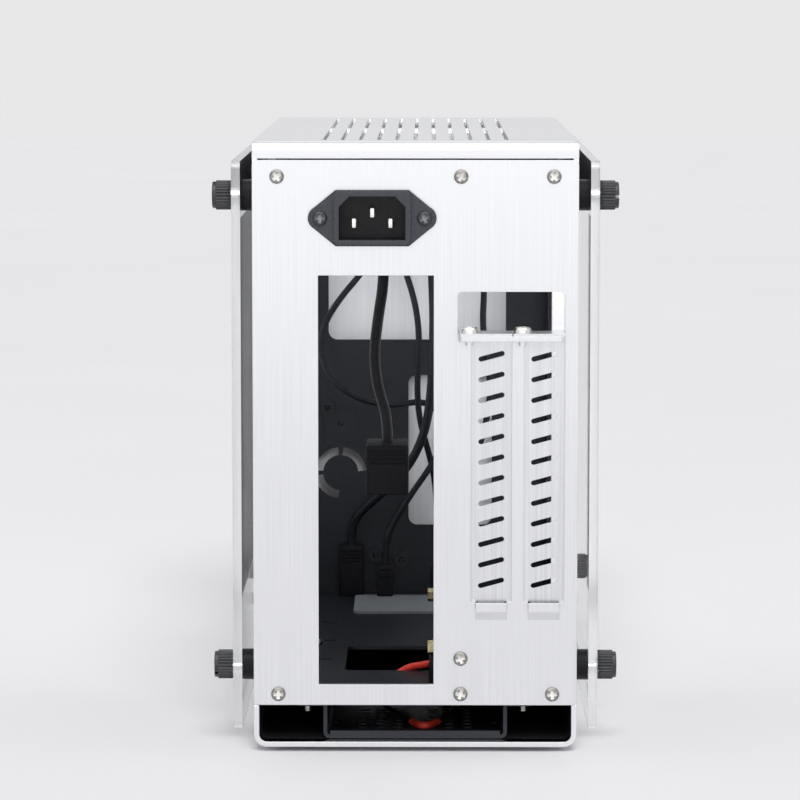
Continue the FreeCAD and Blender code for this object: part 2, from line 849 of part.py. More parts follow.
def make_front_panel():
    body = new_body("front_panel")
    pad(body, "XZ", inner_front, front, rectangle(-half, base, half, panel_high, s.plate_corner))
    pocket(body, "XZ", inner_front, front, circle(ZERO, switch_up, s.switch_barrel_radius + s.fit_gap))
    pocket(body, "XZ", inner_front, front, *[socket_outline(way, s.fit_gap) for way in (-1, 1)])
    blind = [circle(spot[0], spot[2], screw_hole) for spot in end_screw_places(front)]
    pocket(body, "XZ", inner_front, inner_front + s.blind_hole_depth, *blind)
    return body


def make_side_panel(side):
    way = SIDES[side]
    body = new_body(f"side_panel_{side}")
    faces = sorted(
        ((half + s.standoff_length) * way, (half + s.standoff_length + s.acrylic_sheet) * way),
        key=lambda face: face.number,
    )
    edge = rectangle(rear, base + s.acrylic_low, front, lid_underside - s.acrylic_drop, s.acrylic_corner)
    pad(body, "YZ", faces[0], faces[1], edge)
    holes = [circle(along, up, s.bolt_radius + s.bolt_gap) for along, up in KNOB_PLACES]
    pocket(body, "YZ", faces[0], faces[1], *holes)
    return body


def make_standoffs(side):
    """Turned standoffs, each with a spigot clinched through the wall."""
    members = []
    bore = s.bolt_radius + s.bolt_gap
    for number, (along, up) in enumerate(KNOB_PLACES, start=1):
        standoff = turned(
            f"standoff_{side}_{number}",
            (bore, -s.shell_sheet),
            (s.spigot_radius, -s.shell_sheet),
            (s.spigot_radius, ZERO),
            (s.standoff_radius, ZERO),
            (s.standoff_radius, s.standoff_length),
            (bore, s.standoff_length),
        )
        place(standoff, half * SIDES[side], along, up, FACING["-X" if side == "left" else "+X"])
        members.append(standoff)
    return group(f"standoffs_{side}", members)


def make_thumbscrew(side, end, level):
    """A thumbscrew with a plain head and a driver slot; its seat is the panel's outer face."""
    length = s.acrylic_sheet + s.standoff_length
    head = turned(
        f"thumbscrew_{side}_{end}_{level}",
        (ZERO, -length),
        (s.bolt_radius, -length),
        (s.bolt_radius, ZERO),
        (s.knob_radius, ZERO),
        (s.knob_radius, s.knob_length - s.knob_rim),
        (s.knob_radius - s.knob_rim, s.knob_length),
        (ZERO, s.knob_length),
    )
    slot = rectangle(-s.knob_radius, -s.knob_slot_width / 2, s.knob_radius, s.knob_slot_width / 2)
    pocket(head, "XY", s.knob_length - s.knob_slot_depth, s.knob_length, slot)
    seat = (half + s.standoff_length + s.acrylic_sheet) * SIDES[side]
    place(head, seat, KNOB_ALONG[end], KNOB_UP[level], FACING["-X" if side == "left" else "+X"])
    return head


def make_feet():
    members = []
    for side in SIDES.values():
        for along in (rear + s.foot_inset, front - s.foot_inset):
            foot = doc.addObject("Part::Cylinder", "foot")
            bind(foot, "Radius", s.foot_radius)
            bind(foot, "Height", s.foot_height)
            place(foot, (half - s.foot_inset) * side, along, ZERO)
            members.append(foot)
    return group("feet", members)


# Mains inlet


def make_power_inlet():
    body = new_body("power_inlet")
    middle = s.inlet_across
    wide, high = s.inlet_flange_straight / 2, s.inlet_flange_height / 2
    shoulder, end = s.inlet_flange_top / 2, s.inlet_flange_end / 2
    flange = outline(
        (middle - wide, inlet_up - end),
        (middle - shoulder, inlet_up - high),
        (middle + shoulder, inlet_up - high),
        (middle + wide, inlet_up - end),
        (middle + wide, inlet_up + end),
        (middle + shoulder, inlet_up + high),
        (middle - shoulder, inlet_up + high),
        (middle - wide, inlet_up + end),
    )
    pad(body, "XZ", rear - s.inlet_flange_sheet, rear, flange)
    round_ends = [circle(across, inlet_up, s.inlet_end_radius) for across in INLET_SCREW_ACROSS]
    pad(body, "XZ", rear - s.inlet_flange_sheet, rear, *round_ends)
    frame_face = rear - s.inlet_flange_sheet - s.inlet_frame_proud
    frame_wide, frame_high = s.inlet_frame_width / 2, s.inlet_frame_height / 2
    frame = rectangle(
        middle - frame_wide, inlet_up - frame_high, middle + frame_wide, inlet_up + frame_high, s.plate_corner
    )
    pad(body, "XZ", frame_face, rear - s.inlet_flange_sheet, frame)
    body_wide, body_high = s.inlet_body_width / 2, s.inlet_body_height / 2
    casing = rectangle(middle - body_wide, inlet_up - body_high, middle + body_wide, inlet_up + body_high)
    pad(body, "XZ", rear, rear + s.inlet_body_depth, casing)
    cut = s.inlet_recess_chamfer
    wide, high = s.inlet_recess_width / 2, s.inlet_recess_height / 2
    recess = outline(
        (middle - wide, inlet_up - high),
        (middle + wide, inlet_up - high),
        (middle + wide, inlet_up + high - cut),
        (middle + wide - cut, inlet_up + high),
        (middle - wide + cut, inlet_up + high),
        (middle - wide, inlet_up + high - cut),
    )
    pocket(body, "XZ", frame_face, frame_face + s.inlet_recess_depth, recess)
    holes = [circle(across, inlet_up, screw_hole) for across in INLET_SCREW_ACROSS]
    pocket(body, "XZ", rear - s.inlet_flange_sheet, rear, *holes)
    return body


def make_inlet_blades():
    """Line, neutral and earth blades that stand on the floor of the recess."""
    recess_floor = rear - s.inlet_flange_sheet - s.inlet_frame_proud + s.inlet_recess_depth
    across, drop = s.blade_spacing, s.blade_line_drop
    spots = ((-across, -drop), (across, -drop), (ZERO, drop))
    members = []
    for across, up in spots:
        blade = doc.addObject("Part::Box", "blade")
        bind(blade, "Length", s.blade_width)
        bind(blade, "Width", s.blade_length)
        bind(blade, "Height", s.blade_height)
        place(
            blade,
            s.inlet_across + across - s.blade_width / 2,
            recess_floor - s.blade_length,
            inlet_up + up - s.blade_height / 2,
        )
        members.append(blade)
    return group("inlet_blades", members)


boot_start = rear + s.inlet_body_depth
boot_end = boot_start + s.boot_depth + s.boot_relief_length


def make_inlet_boot():
    """Boot over the terminals, with a round collar that the lead comes out of."""
    body = new_body("inlet_boot")
    wide, high = s.boot_width / 2, s.boot_height / 2
    cap = rectangle(
        s.inlet_across - wide, inlet_up - high, s.inlet_across + wide, inlet_up + high, s.plug_corner
    )
    pad(body, "XZ", boot_start, boot_start + s.boot_depth, cap)
    collar = circle(s.inlet_across, inlet_up, s.boot_relief_radius)
    pad(body, "XZ", boot_start + s.boot_depth, boot_end, collar)
    return body


# Board tray, floor and drive tray


def make_motherboard_tray():
    body = new_body("motherboard_tray")
    back = tray_face + s.tray_sheet
    start = inner_rear
    ear_top = lid_underside - s.tray_drop
    tray_top = ear_top - s.lid_flange_drop
    pad(body, "YZ", tray_face, back, rectangle(start, floor_high, start + s.tray_depth, tray_top))
    tab_right = back + s.tray_tab_width
    low_tab = rectangle(back, floor_high, tab_right, floor_high + s.tray_tab_height)
    high_tab = rectangle(back, ear_top - s.tray_tab_height, tab_right, ear_top)
    ear = rectangle(start, tray_top, start + s.tray_tab_width, ear_top)
    pad(body, "YZ", tray_face, back, ear)
    pad(body, "XZ", start, start + s.tray_sheet, low_tab, high_tab)
    window = rectangle(
        start + s.tray_window_start,
        base + s.tray_window_low,
        start + s.tray_window_start + s.tray_window_depth,
        base + s.tray_window_high,
        s.tray_window_corner,
    )
    pocket(body, "YZ", tray_face, back, window)
    studs = [circle(along, up, s.board_stud_radius + s.fit_gap / 2) for along, up in BOARD_HOLES]
    pocket(body, "YZ", tray_face, back, *studs)
    holes = [circle(spot[0], spot[2], screw_hole) for spot in TRAY_SCREW_PLACES]
    pocket(body, "XZ", start, start + s.tray_sheet, *holes)
    return body


board_first = inner_rear + s.board_hole_first
BOARD_HOLES = [
    (board_first + s.board_hole_step, base + s.board_hole_low),
    (board_first + s.board_hole_depth, base + s.board_hole_low),
    (board_first, base + s.board_hole_low + s.board_hole_rise),
    (board_first + s.board_hole_depth, base + s.board_hole_low + s.board_hole_rise),
]


def make_board_standoffs():
    """Hexagon standoffs with a stud in the tray and a threaded bore for the board's screw."""
    members = []
    for along, up in BOARD_HOLES:
        hexagon = doc.addObject("Part::Prism", "hexagon")
        hexagon.Polygon = 6
        bind(hexagon, "Circumradius", s.board_standoff_flats / math.sqrt(3))
        bind(hexagon, "Height", s.board_standoff_height)
        stud = doc.addObject("Part::Cylinder", "stud")
        bind(stud, "Radius", s.board_stud_radius)
        bind(stud, "Height", s.tray_sheet)
        stud.setExpression("Placement.Base.z", (-s.tray_sheet).formula)
        bore = doc.addObject("Part::Cylinder", "bore")
        bind(bore, "Radius", s.board_thread_radius)
        bind(bore, "Height", s.board_standoff_height)
        solid = doc.addObject("Part::Fuse", "solid")
        solid.Base, solid.Tool = hexagon, stud
        standoff = doc.addObject("Part::Cut", "board_standoff")
        standoff.Base, standoff.Tool = solid, bore
        place(standoff, tray_face, along, up, FACING["-X"])
        members.append(standoff)
    return group("board_standoffs", members)


def make_floor_plate():
    body = new_body("floor_plate")
    edge = inner_half - s.fit_gap
    far = frame_back - s.fit_gap
    pad(body, "XY", floor_low, floor_high, rectangle(-edge, inner_rear, edge, far))
    notch_start = frame_back - s.frame_flange - s.fit_gap
    notch_edge = edge - s.frame_sheet - s.fit_gap
    notches = [
        rectangle(notch_edge, notch_start, edge, far),
        rectangle(-edge, notch_start, -notch_edge, far),
    ]
    pocket(body, "XY", floor_low, floor_high, *notches)
    flange = rectangle(
        rear + s.floor_flange_inset,
        floor_high,
        far - s.floor_flange_inset,
        floor_high + s.floor_flange_height,
    )
    pad(body, "YZ", edge - s.floor_sheet, edge, flange)
    pad(body, "YZ", -edge, s.floor_sheet - edge, flange)
    step_pad = rectangle(
        s.floor_pad_left,
        rear + s.floor_pad_start,
        s.floor_pad_right,
        rear + s.floor_pad_end,
        s.floor_hole_corner,
    )
    pad(body, "XY", floor_high, floor_high + s.floor_pad_height, step_pad)
    hole = rectangle(
        s.floor_hole_left,
        rear + s.floor_hole_start,
        s.floor_hole_right,
        rear + s.floor_hole_end,
        s.floor_hole_corner,
    )
    pocket(body, "XY", floor_low, floor_high, hole)
    half_run = (s.floor_slit_right - s.floor_slit_left) / 2 - s.floor_slit_radius
    slit_middle = (s.floor_slit_right + s.floor_slit_left) / 2
    slit = obround(slit_middle, rear + s.floor_slit_start, half_run, s.floor_slit_radius)
    slits = pocket(body, "XY", floor_low, floor_high, slit)
    repeat(body, slits, "Y", s.floor_slit_pitch * (s.floor_slit_count - 1), s.floor_slit_count)
    holes = [circle(across, along, screw_hole) for across, along in DRIVE_SCREWS]
    pocket(body, "XY", floor_low, floor_high, *holes)
    sides = [circle(along, FLOOR_SCREW_UP, screw_hole) for along in FLOOR_SCREW_ALONG]
    pocket(body, "YZ", -edge, edge, *sides)
    return body


drive_start = rear + s.drive_start
drive_end = drive_start + s.drive_length
DRIVE_SCREWS = [
    (s.drive_screw_across * side, along)
    for side in SIDES.values()
    for along in (drive_start + s.drive_screw_inset, drive_end - s.drive_screw_inset)
]


def make_drive_tray():
    body = new_body("drive_tray")
    low, high = base + s.drive_floor, floor_low
    wide, thin = s.drive_width / 2, s.drive_sheet
    reach = wide - thin + s.drive_flange
    bend, inner_bend = s.drive_bend, s.drive_bend - thin
    section = outline(
        (-reach, high),
        (-reach, high - thin),
        (-wide, high - thin),
        (-wide, low, bend),
        (wide, low, bend),
        (wide, high - thin),
        (reach, high - thin),
        (reach, high),
        (wide - thin, high),
        (wide - thin, low + thin, inner_bend),
        (thin - wide, low + thin, inner_bend),
        (thin - wide, high),
    )
    pad(body, "XZ", drive_start, drive_end, section)
    lip = wide - thin - s.drive_lip_margin
    bar = rectangle(-lip, low + thin, lip, low + thin + s.drive_lip_height)
    pad(body, "XZ", drive_start, drive_start + thin, bar)
    first = drive_start + s.drive_hole_first
    holes = [
        circle(s.drive_hole_across / 2 * side, along, screw_hole)
        for side in SIDES.values()
        for along in (first, first + s.drive_hole_along)
    ]
    pocket(body, "XY", low, low + thin, *holes)
    flange_holes = [circle(across, along, screw_hole) for across, along in DRIVE_SCREWS]
    pocket(body, "XY", high - thin, high, *flange_holes)
    start = drive_start + s.drive_vent_first
    run, radius = s.drive_vent_half_run, s.drive_vent_radius
    columns = [obround(s.drive_vent_across * step, start, run, radius) for step in (-3, -2, -1, 1, 2, 3)]
    vents = pocket(body, "XY", low, low + thin, *columns)
    repeat(body, vents, "Y", s.drive_vent_pitch * (s.drive_vent_count - 1), s.drive_vent_count)
    return body


# Front frame, switch and sockets

BOSS_SPOTS = ((-41.0, 103.0), (-19.0, 35.0), (-7.0, 33.0))


def make_front_frame():
    body = new_body("front_frame")
    edge = inner_half - s.fit_gap
    low, high = floor_low, panel_high - s.lid_flange_drop - s.fit_gap
    fold = outline(
        (-edge, frame_back - s.frame_flange),
        (s.frame_sheet - edge, frame_back - s.frame_flange),
        (s.frame_sheet - edge, frame_back),
        (edge - s.frame_sheet, frame_back),
        (edge - s.frame_sheet, frame_back - s.frame_flange),
        (edge, frame_back - s.frame_flange),
        (edge, frame_face),
        (-edge, frame_face),
    )
    pad(body, "XY", low, high, fold)
    opening = rectangle(
        s.frame_post - edge, base + s.frame_sill, edge - s.frame_post, high - s.frame_head, s.frame_corner
    )
    pass_through = rectangle(
        s.frame_hole_left,
        base + s.frame_hole_low,
        s.frame_hole_right,
        base + s.frame_hole_high,
        s.frame_corner,
    )
    pocket(body, "XZ", frame_back, frame_face, opening, pass_through)
    half_side = s.recess_side / 2
    recess = rectangle(
        s.recess_across - half_side,
        base + s.recess_up - half_side,
        s.recess_across + half_side,
        base + s.recess_up + half_side,
    )
    pocket(body, "XZ", frame_back, frame_back + s.recess_depth, recess)
    bosses = [circle(across, base + up, s.boss_radius) for across, up in BOSS_SPOTS]
    pad(body, "XZ", frame_back - s.boss_height, frame_back, *bosses)
    boss_holes = [circle(across, base + up, s.boss_hole_radius) for across, up in BOSS_SPOTS]
    centre_hole = circle(s.recess_across, base + s.recess_up, s.boss_hole_radius)
    pocket(body, "XZ", frame_back - s.boss_height, frame_face, *boss_holes, centre_hole)
    sides = [circle(FRAME_SCREW_ALONG, up, screw_hole) for up in FRAME_SCREW_UP]
    pocket(body, "YZ", -edge, edge, *sides)
    frame = doc.addObject("Part::Cut", "front_frame_cut")
    frame.Base, frame.Tool = body, make_ring_slots()
    body.Label = "front_frame_body"
    frame.Label = "front_frame"
    return frame


def make_ring_slots():
    """Curved slots on one circle, cut through the frame."""
    sectors = []
    for number in range(int(s.ring_count.number)):
        turn = s.ring_start.number + s.ring_step.number * number
        outer = doc.addObject("Part::Cylinder", "ring_outer")
        bind(outer, "Radius", s.ring_radius)
        bind(outer, "Angle", s.ring_turn)
        inner = doc.addObject("Part::Cylinder", "ring_inner")
        bind(inner, "Radius", s.ring_radius - s.ring_width)
        for cylinder in (outer, inner):
            bind(cylinder, "Height", s.frame_sheet)
            spin = Rotation(Vector(0, 0, 1), turn)
            place(cylinder, s.ring_across, frame_face, base + s.ring_up, FACING["-Y"].multiply(spin))
        sector = doc.addObject("Part::Cut", "ring_sector")
        sector.Base, sector.Tool = outer, inner
        sectors.append(sector)
    return group("ring_slots", sectors)


def socket_outline(way, gap=ZERO):
    """Outline of one front socket, or of the opening that clears it."""
    middle = s.socket_spacing / 2 * way
    wide, high = s.socket_width / 2 + gap, s.socket_height / 2 + gap
    up = socket_up
    return rectangle(middle - wide, up - high, middle + wide, up + high)


def make_usb_sockets():
    members = []
    for way in (-1, 1):
        socket = new_body("usb_socket")
        middle, up = s.socket_spacing / 2 * way, socket_up
        floor = front - s.socket_depth + s.socket_wall
        pad(socket, "XZ", front - s.socket_depth, front, socket_outline(way))
        pocket(socket, "XZ", floor, front, socket_outline(way, -s.socket_wall))
        tongue = rectangle(
            middle - s.socket_tongue_width / 2,
            up + s.socket_wall,
            middle + s.socket_tongue_width / 2,
            up + s.socket_wall + s.socket_tongue_height,
        )
        pad(socket, "XZ", floor, front - s.socket_tongue_height, tongue)
        members.append(socket)
    return group("usb_sockets", members)


usb_board_high = socket_up - s.socket_height / 2
usb_board_low = usb_board_high - s.usb_board_sheet
usb_board_front = inner_front - s.fit_gap
usb_board_back = usb_board_front - s.usb_board_length


def make_usb_board():
    body = new_body("usb_board")
    wide = s.usb_board_width / 2
    pad(body, "XY", usb_board_low, usb_board_high, rectangle(-wide, usb_board_back, wide, usb_board_front))
    header = s.usb_header_width / 2
    blocks = []
    for route in (USB_ROUTE, AUDIO_ROUTE):
        left, right = as_size(route[0][0]) - header, as_size(route[0][0]) + header
        blocks.append(rectangle(left, usb_board_back, right, usb_board_back + s.usb_header_length))
    pad(body, "XY", usb_board_high, usb_board_high + s.usb_header_height, *blocks)
    return body


def make_usb_bracket():
    """Angle on the back of the front panel that the socket board lies on."""
    body = new_body("usb_bracket")
    wide, thin = s.usb_board_width / 2, s.usb_bracket_sheet
    low = usb_board_low - s.usb_bracket_drop
    section = outline(
        (inner_front, low),
        (inner_front, usb_board_low),
        (usb_board_back, usb_board_low),
        (usb_board_back, usb_board_low - thin),
        (inner_front - thin, usb_board_low - thin),
        (inner_front - thin, low),
    )
    pad(body, "YZ", -wide, wide, section)
    return body


switch_end = front - s.switch_barrel_length - s.switch_back_length


def make_switch_body():
    """Round push-switch housing through the front panel, bored for its button."""
    bore = s.button_radius + s.button_gap
    bore_floor = s.switch_rim_proud - s.switch_bore_depth
    body = turned(
        "switch_body",
        (ZERO, -s.switch_barrel_length - s.switch_back_length),
        (s.switch_back_radius, -s.switch_barrel_length - s.switch_back_length),
        (s.switch_back_radius, -s.switch_barrel_length),
        (s.switch_barrel_radius, -s.switch_barrel_length),
        (s.switch_barrel_radius, ZERO),
        (s.switch_rim_radius, ZERO),
        (s.switch_rim_radius, s.switch_rim_proud - s.button_edge),
        (s.switch_rim_radius - s.button_edge, s.switch_rim_proud),
        (bore, s.switch_rim_proud),
        (bore, bore_floor),
        (ZERO, bore_floor),
    )
    place(body, ZERO, front, switch_up, FACING["+Y"])
    return body


def make_switch_nut():
    hexagon = doc.addObject("Part::Prism", "nut_hexagon")
    hexagon.Polygon = 6
    bind(hexagon, "Circumradius", s.switch_nut_flats / math.sqrt(3))
    bind(hexagon, "Height", s.switch_nut_height)
    bore = doc.addObject("Part::Cylinder", "nut_bore")
    bind(bore, "Radius", s.switch_barrel_radius + s.fit_gap / 2)
    bind(bore, "Height", s.switch_nut_height)
    nut = doc.addObject("Part::Cut", "switch_nut")
    nut.Base, nut.Tool = hexagon, bore
    nut.Label = "switch_nut"
    place(nut, ZERO, inner_front, switch_up, FACING["-Y"])
    return nut


def make_power_button():
    low = s.button_proud - s.button_length
    body = turned(
        "power_button",
        (ZERO, low),
        (s.button_radius, low),
        (s.button_radius, s.button_proud - s.button_edge),
        (s.button_radius - s.button_edge, s.button_proud),
        (ZERO, s.button_proud),
    )
    place(body, ZERO, front, switch_up, FACING["+Y"])
    return body


# Loose leads and what is on them

# Each route is chosen by hand: points of the lead's line in the case's frame
INLET_ROUTE = [
    (-16.5, -99.0, 206.3),
    (-16.5, -89.0, 206.3),
    (-15.0, -78.0, 201.5),
    (-13.0, -69.0, 191.0),
    (-13.0, -63.0, 176.0),
    (-15.5, -60.0, 160.5),
    (-17.0, -59.0, 147.0),
    (-15.5, -58.5, 134.0),
    (-11.5, -58.0, 122.0),
    (-11.5, -58.0, 112.0),
]
USB_ROUTE = [
    (6.0, 118.8, 182.1),
    (6.0, 109.0, 182.1),
    (6.5, 98.0, 176.0),
    (7.0, 90.5, 163.5),
    (7.5, 88.0, 147.5),
    (7.0, 89.0, 130.0),
    (6.0, 93.0, 113.0),
    (3.5, 98.0, 97.5),
    (-2.5, 103.5, 83.5),
    (-11.0, 109.5, 73.0),
    (-20.0, 116.0, 64.5),
    (-27.0, 121.5, 57.5),
    (-30.0, 124.5, 50.3),
    (-30.0, 124.5, 43.1),
]
AUDIO_ROUTE = [
    (-10.0, 118.8, 182.1),
    (-10.0, 110.0, 182.1),
    (-8.5, 101.0, 178.5),
    (-5.0, 95.5, 169.5),
    (-1.0, 93.5, 157.0),
    (1.0, 94.0, 143.0),
    (0.5, 96.0, 128.5),
    (0.0, 99.5, 114.0),
    (1.5, 105.0, 100.5),
    (5.0, 110.5, 88.0),
    (8.0, 114.0, 74.5),
    (9.0, 114.5, 60.5),
    (9.5, 114.0, 47.5),
    (9.5, 114.0, 35.3),
]
SWITCH_ROUTE = [
    (-2.6, 123.0, 206.0),
    (-2.6, 115.0, 206.0),
    (-5.0, 107.0, 202.0),
    (-10.0, 101.5, 193.5),
    (-16.5, 99.0, 182.0),
    (-25.0, 98.0, 168.5),
    (-35.0, 97.5, 157.0),
    (-42.5, 97.0, 144.5),
    (-43.0, 97.0, 131.0),
    (-36.0, 98.0, 118.5),
    (-23.0, 101.0, 111.0),
    (-9.0, 105.0, 109.0),
    (3.0, 108.0, 111.0),
    (11.0, 108.0, 105.0),
    (12.5, 107.0, 93.5),
    (6.5, 107.5, 81.5),
    (-1.5, 109.5, 70.0),
    (-9.0, 112.0, 58.0),
    (-14.5, 113.5, 46.5),
    (-14.5, 113.5, 35.3),
]
LIGHT_ROUTE = [
    (2.6, 123.0, 206.0),
    (2.6, 114.5, 206.0),
    (6.0, 106.5, 203.5),
    (13.5, 101.5, 197.5),
    (22.0, 99.0, 188.0),
    (28.0, 98.0, 176.0),
    (30.0, 97.5, 162.0),
    (29.0, 97.5, 147.0),
    (31.0, 98.0, 132.0),
    (33.0, 99.0, 117.0),
    (31.0, 100.0, 102.0),
    (27.0, 101.0, 88.0),
    (24.5, 102.0, 74.5),
    (24.0, 103.0, 61.0),
    (23.0, 103.5, 48.0),
    (23.0, 103.5, 35.3),
]
DATA_ROUTE = [
    (16.0, -72.0, 7.25),
    (16.0, -86.0, 7.25),
    (14.5, -100.0, 7.25),
    (11.5, -113.0, 7.25),
    (4.5, -124.5, 7.25),
    (-3.5, -114.0, 7.25),
    (-8.5, -101.0, 7.25),
    (-14.5, -88.0, 7.25),
    (-20.0, -77.0, 8.50),
    (-18.0, -66.5, 12.50),
    (-11.0, -63.5, 17.00),
    (-4.0, -65.5, 20.90),
    (1.5, -68.5, 22.10),
    (6.0, -71.5, 23.40),
    (8.1, -77.5, 25.35),
    (8.1, -88.0, 25.35),
]
RUN_SHARE = 0.45


def hung(route, start):
    """The route with its heights drawn out to begin at a given height and end where it did."""
    first, last = route[0][2], route[-1][2]
    stretch = (start.number - last) / (first - last)
    return [(across, along, last + (up - last) * stretch) for across, along, up in route]


def make_lead(label, route, radius):
    """A plain tube along straight runs, joined by arcs as large as the runs allow."""
    points = [Vector(*point) for point in route]
    edges = []
    bends = []
    here = points[0]
    for before, corner, after in zip(points, points[1:], points[2:]):
        back, ahead = before - corner, after - corner
        turn = math.pi - back.getAngle(ahead)
        trim = RUN_SHARE * min(back.Length, ahead.Length)
        bend = trim / math.tan(turn / 2)
        back.normalize()
        ahead.normalize()
        enter, leave = corner + back * trim, corner + ahead * trim
        inward = (back + ahead).normalize()
        crown = corner + inward * (bend / math.cos(turn / 2) - bend)
        edges.append(Part.LineSegment(here, enter).toShape())
        edges.append(Part.Arc(enter, crown, leave).toShape())
        bends.append(bend)
        here = leave
    edges.append(Part.LineSegment(here, points[-1]).toShape())
    path = Part.Wire(edges)
    section = Part.Wire(Part.Circle(points[0], points[1] - points[0], radius.number).toShape())
    tube = path.makePipeShell([section], True, False)
    expected = math.pi * radius.number ** 2 * path.Length
    assert abs(tube.Volume - expected) < 0.01 * expected, f"{label} has the wrong volume"
    print(f"{label}: length {path.Length:.1f}, tightest bend {min(bends):.1f}, radius {radius.number}")
    lead = doc.addObject("Part::Feature", label)
    lead.Label = label
    lead.Shape = tube
    lead.Placement = Placement()
    return lead


def make_plug(label, end, width, depth, height):
    """A moulded plug that hangs below the end of its lead."""
    body = new_body(label)
    across, along, up = (as_size(value) for value in end)
    block = rectangle(
        across - width / 2, along - depth / 2, across + width / 2, along + depth / 2, s.plug_corner / 2
    )
    pad(body, "XY", up - height, up, block)
    return body


def make_data_plugs():
    """The connectors of the drive lead: one flat in the tray, one on edge on the floor plate."""
    wide, thick, length = s.data_plug_width, s.data_plug_height, s.data_plug_length
    tray_floor = base + s.drive_floor + s.drive_sheet
    first, last = ([as_size(value) for value in end[:2]] for end in (DATA_ROUTE[0], DATA_ROUTE[-1]))
    flat = rectangle(first[0] - wide / 2, first[1], first[0] + wide / 2, first[1] + length)
    upright = rectangle(last[0] - thick / 2, last[1] - length, last[0] + thick / 2, last[1])
    members = []
    for block, low, high in (
        (flat, tray_floor, tray_floor + thick),
        (upright, floor_high, floor_high + wide),
    ):
        plug = new_body("data_plug")
        pad(plug, "XY", low, high, block)
        members.append(plug)
    return group("data_plugs", members)


# Every sub-part of the case

nodes = [
    make_base_shell(),
    make_top_cover(),
    make_rear_panel(),
    make_front_panel(),
    make_feet(),
    make_power_inlet(),
    make_inlet_blades(),
    make_inlet_boot(),
    make_motherboard_tray(),
    make_board_standoffs(),
    make_floor_plate(),
    make_drive_tray(),
    make_front_frame(),
    make_usb_sockets(),
    make_usb_board(),
    make_usb_bracket(),
    make_switch_body(),
    make_switch_nut(),
    make_power_button(),
]
for number, middle in enumerate(SLOT_MIDDLES, start=1):
    nodes.append(make_slot_cover(number, middle))
for side in SIDES:
    nodes.append(make_side_panel(side))
    nodes.append(make_standoffs(side))
    for end in KNOB_ALONG:
        for level in KNOB_UP:
            nodes.append(make_thumbscrew(side, end, level))

panel_screw_length = s.plate_sheet + s.shell_sheet
rear_screw_places = end_screw_places(rear) + TRAY_SCREW_PLACES
nodes.append(screws("rear_panel_screws", "-Y", rear_screw_places, panel_screw_length))
front_screw_places = end_screw_places(inner_front - s.shell_sheet)
front_screw_length = s.shell_sheet + s.blind_hole_depth - s.fit_gap
nodes.append(screws("front_panel_screws", "-Y", front_screw_places, front_screw_length))
inlet_screw_places = [(across, rear - s.inlet_flange_sheet, inlet_up) for across in INLET_SCREW_ACROSS]
inlet_screw_length = s.inlet_flange_sheet + s.plate_sheet
nodes.append(
    screws("inlet_screws", "-Y", inlet_screw_places, inlet_screw_length, s.inlet_screw_head_radius)
)
cover_screw_places = [
    (middle - s.cover_screw_offset, cover_screw_along, shelf_high + s.cover_sheet) for middle in SLOT_MIDDLES
]
nodes.append(
    screws(
        "slot_cover_screws",
        "+Z",
        cover_screw_places,
        s.cover_screw_length,
        s.cover_screw_head_radius,
        s.cover_screw_head_height,
    )
)
wall_screw_length = s.shell_sheet * 2


def wall_places(spots):
    """The same places on the outer faces of both walls."""
    return [(half * side, along, up) for side in SIDES.values() for along, up in spots]


lid_spots = [(along, LID_SCREW_UP) for along in LID_SCREW_ALONG]
floor_spots = [(along, FLOOR_SCREW_UP) for along in FLOOR_SCREW_ALONG]
frame_spots = [(FRAME_SCREW_ALONG, up) for up in FRAME_SCREW_UP]
nodes.append(screws("lid_screws", "out", wall_places(lid_spots), wall_screw_length))
nodes.append(screws("floor_screws", "out", wall_places(floor_spots), wall_screw_length))
nodes.append(screws("frame_screws", "out", wall_places(frame_spots), wall_screw_length))
drive_screw_places = [(across, along, floor_high) for across, along in DRIVE_SCREWS]
nodes.append(screws("drive_tray_screws", "+Z", drive_screw_places, s.drive_screw_length))

nodes.append(make_lead("inlet_lead", hung(INLET_ROUTE, inlet_up), s.inlet_lead_radius))
socket_lead_up = socket_up + s.socket_lead_rise
nodes.append(make_lead("usb_lead", hung(USB_ROUTE, socket_lead_up), s.usb_lead_radius))
nodes.append(make_lead("audio_lead", hung(AUDIO_ROUTE, socket_lead_up), s.thin_lead_radius))
nodes.append(make_lead("switch_lead", hung(SWITCH_ROUTE, switch_up), s.thin_lead_radius))
nodes.append(make_lead("light_lead", hung(LIGHT_ROUTE, switch_up), s.thin_lead_radius))
nodes.append(make_lead("data_lead", DATA_ROUTE, s.data_lead_radius))
nodes.append(
    make_plug("inlet_plug", INLET_ROUTE[-1], s.inlet_plug_width, s.inlet_plug_depth, s.inlet_plug_height)
)
nodes.append(make_plug("usb_plug", USB_ROUTE[-1], s.usb_plug_width, s.usb_plug_depth, s.usb_plug_height))
for label, route in (("audio_plug", AUDIO_ROUTE), ("switch_plug", SWITCH_ROUTE), ("light_plug", LIGHT_ROUTE)):
    nodes.append(make_plug(label, route[-1], s.thin_plug_width, s.thin_plug_depth, s.thin_plug_height))
nodes.append(make_data_plugs())

doc.recompute()

for thing in doc.Objects:
    if "Invalid" in thing.State or "Error" in thing.State:
        raise RuntimeError(f"{thing.Label} failed to build: {thing.State}")
for node in nodes:
    if node.Shape.isNull() or not node.Shape.isValid():
        raise RuntimeError(f"{node.Label} has no valid shape")
for feature in doc.Objects:
    if feature.TypeId == "PartDesign::Pocket":
        before = feature.BaseFeature.Shape.Volume
        if feature.Shape.Volume > before - 1e-6:
            raise RuntimeError(f"{feature.Label} cuts nothing")

os.makedirs("parts", exist_ok=True)
for node in nodes:
    node.Shape.exportStep(f"parts/{node.Label}.step")
print(f"{len(nodes)} sub-parts written")
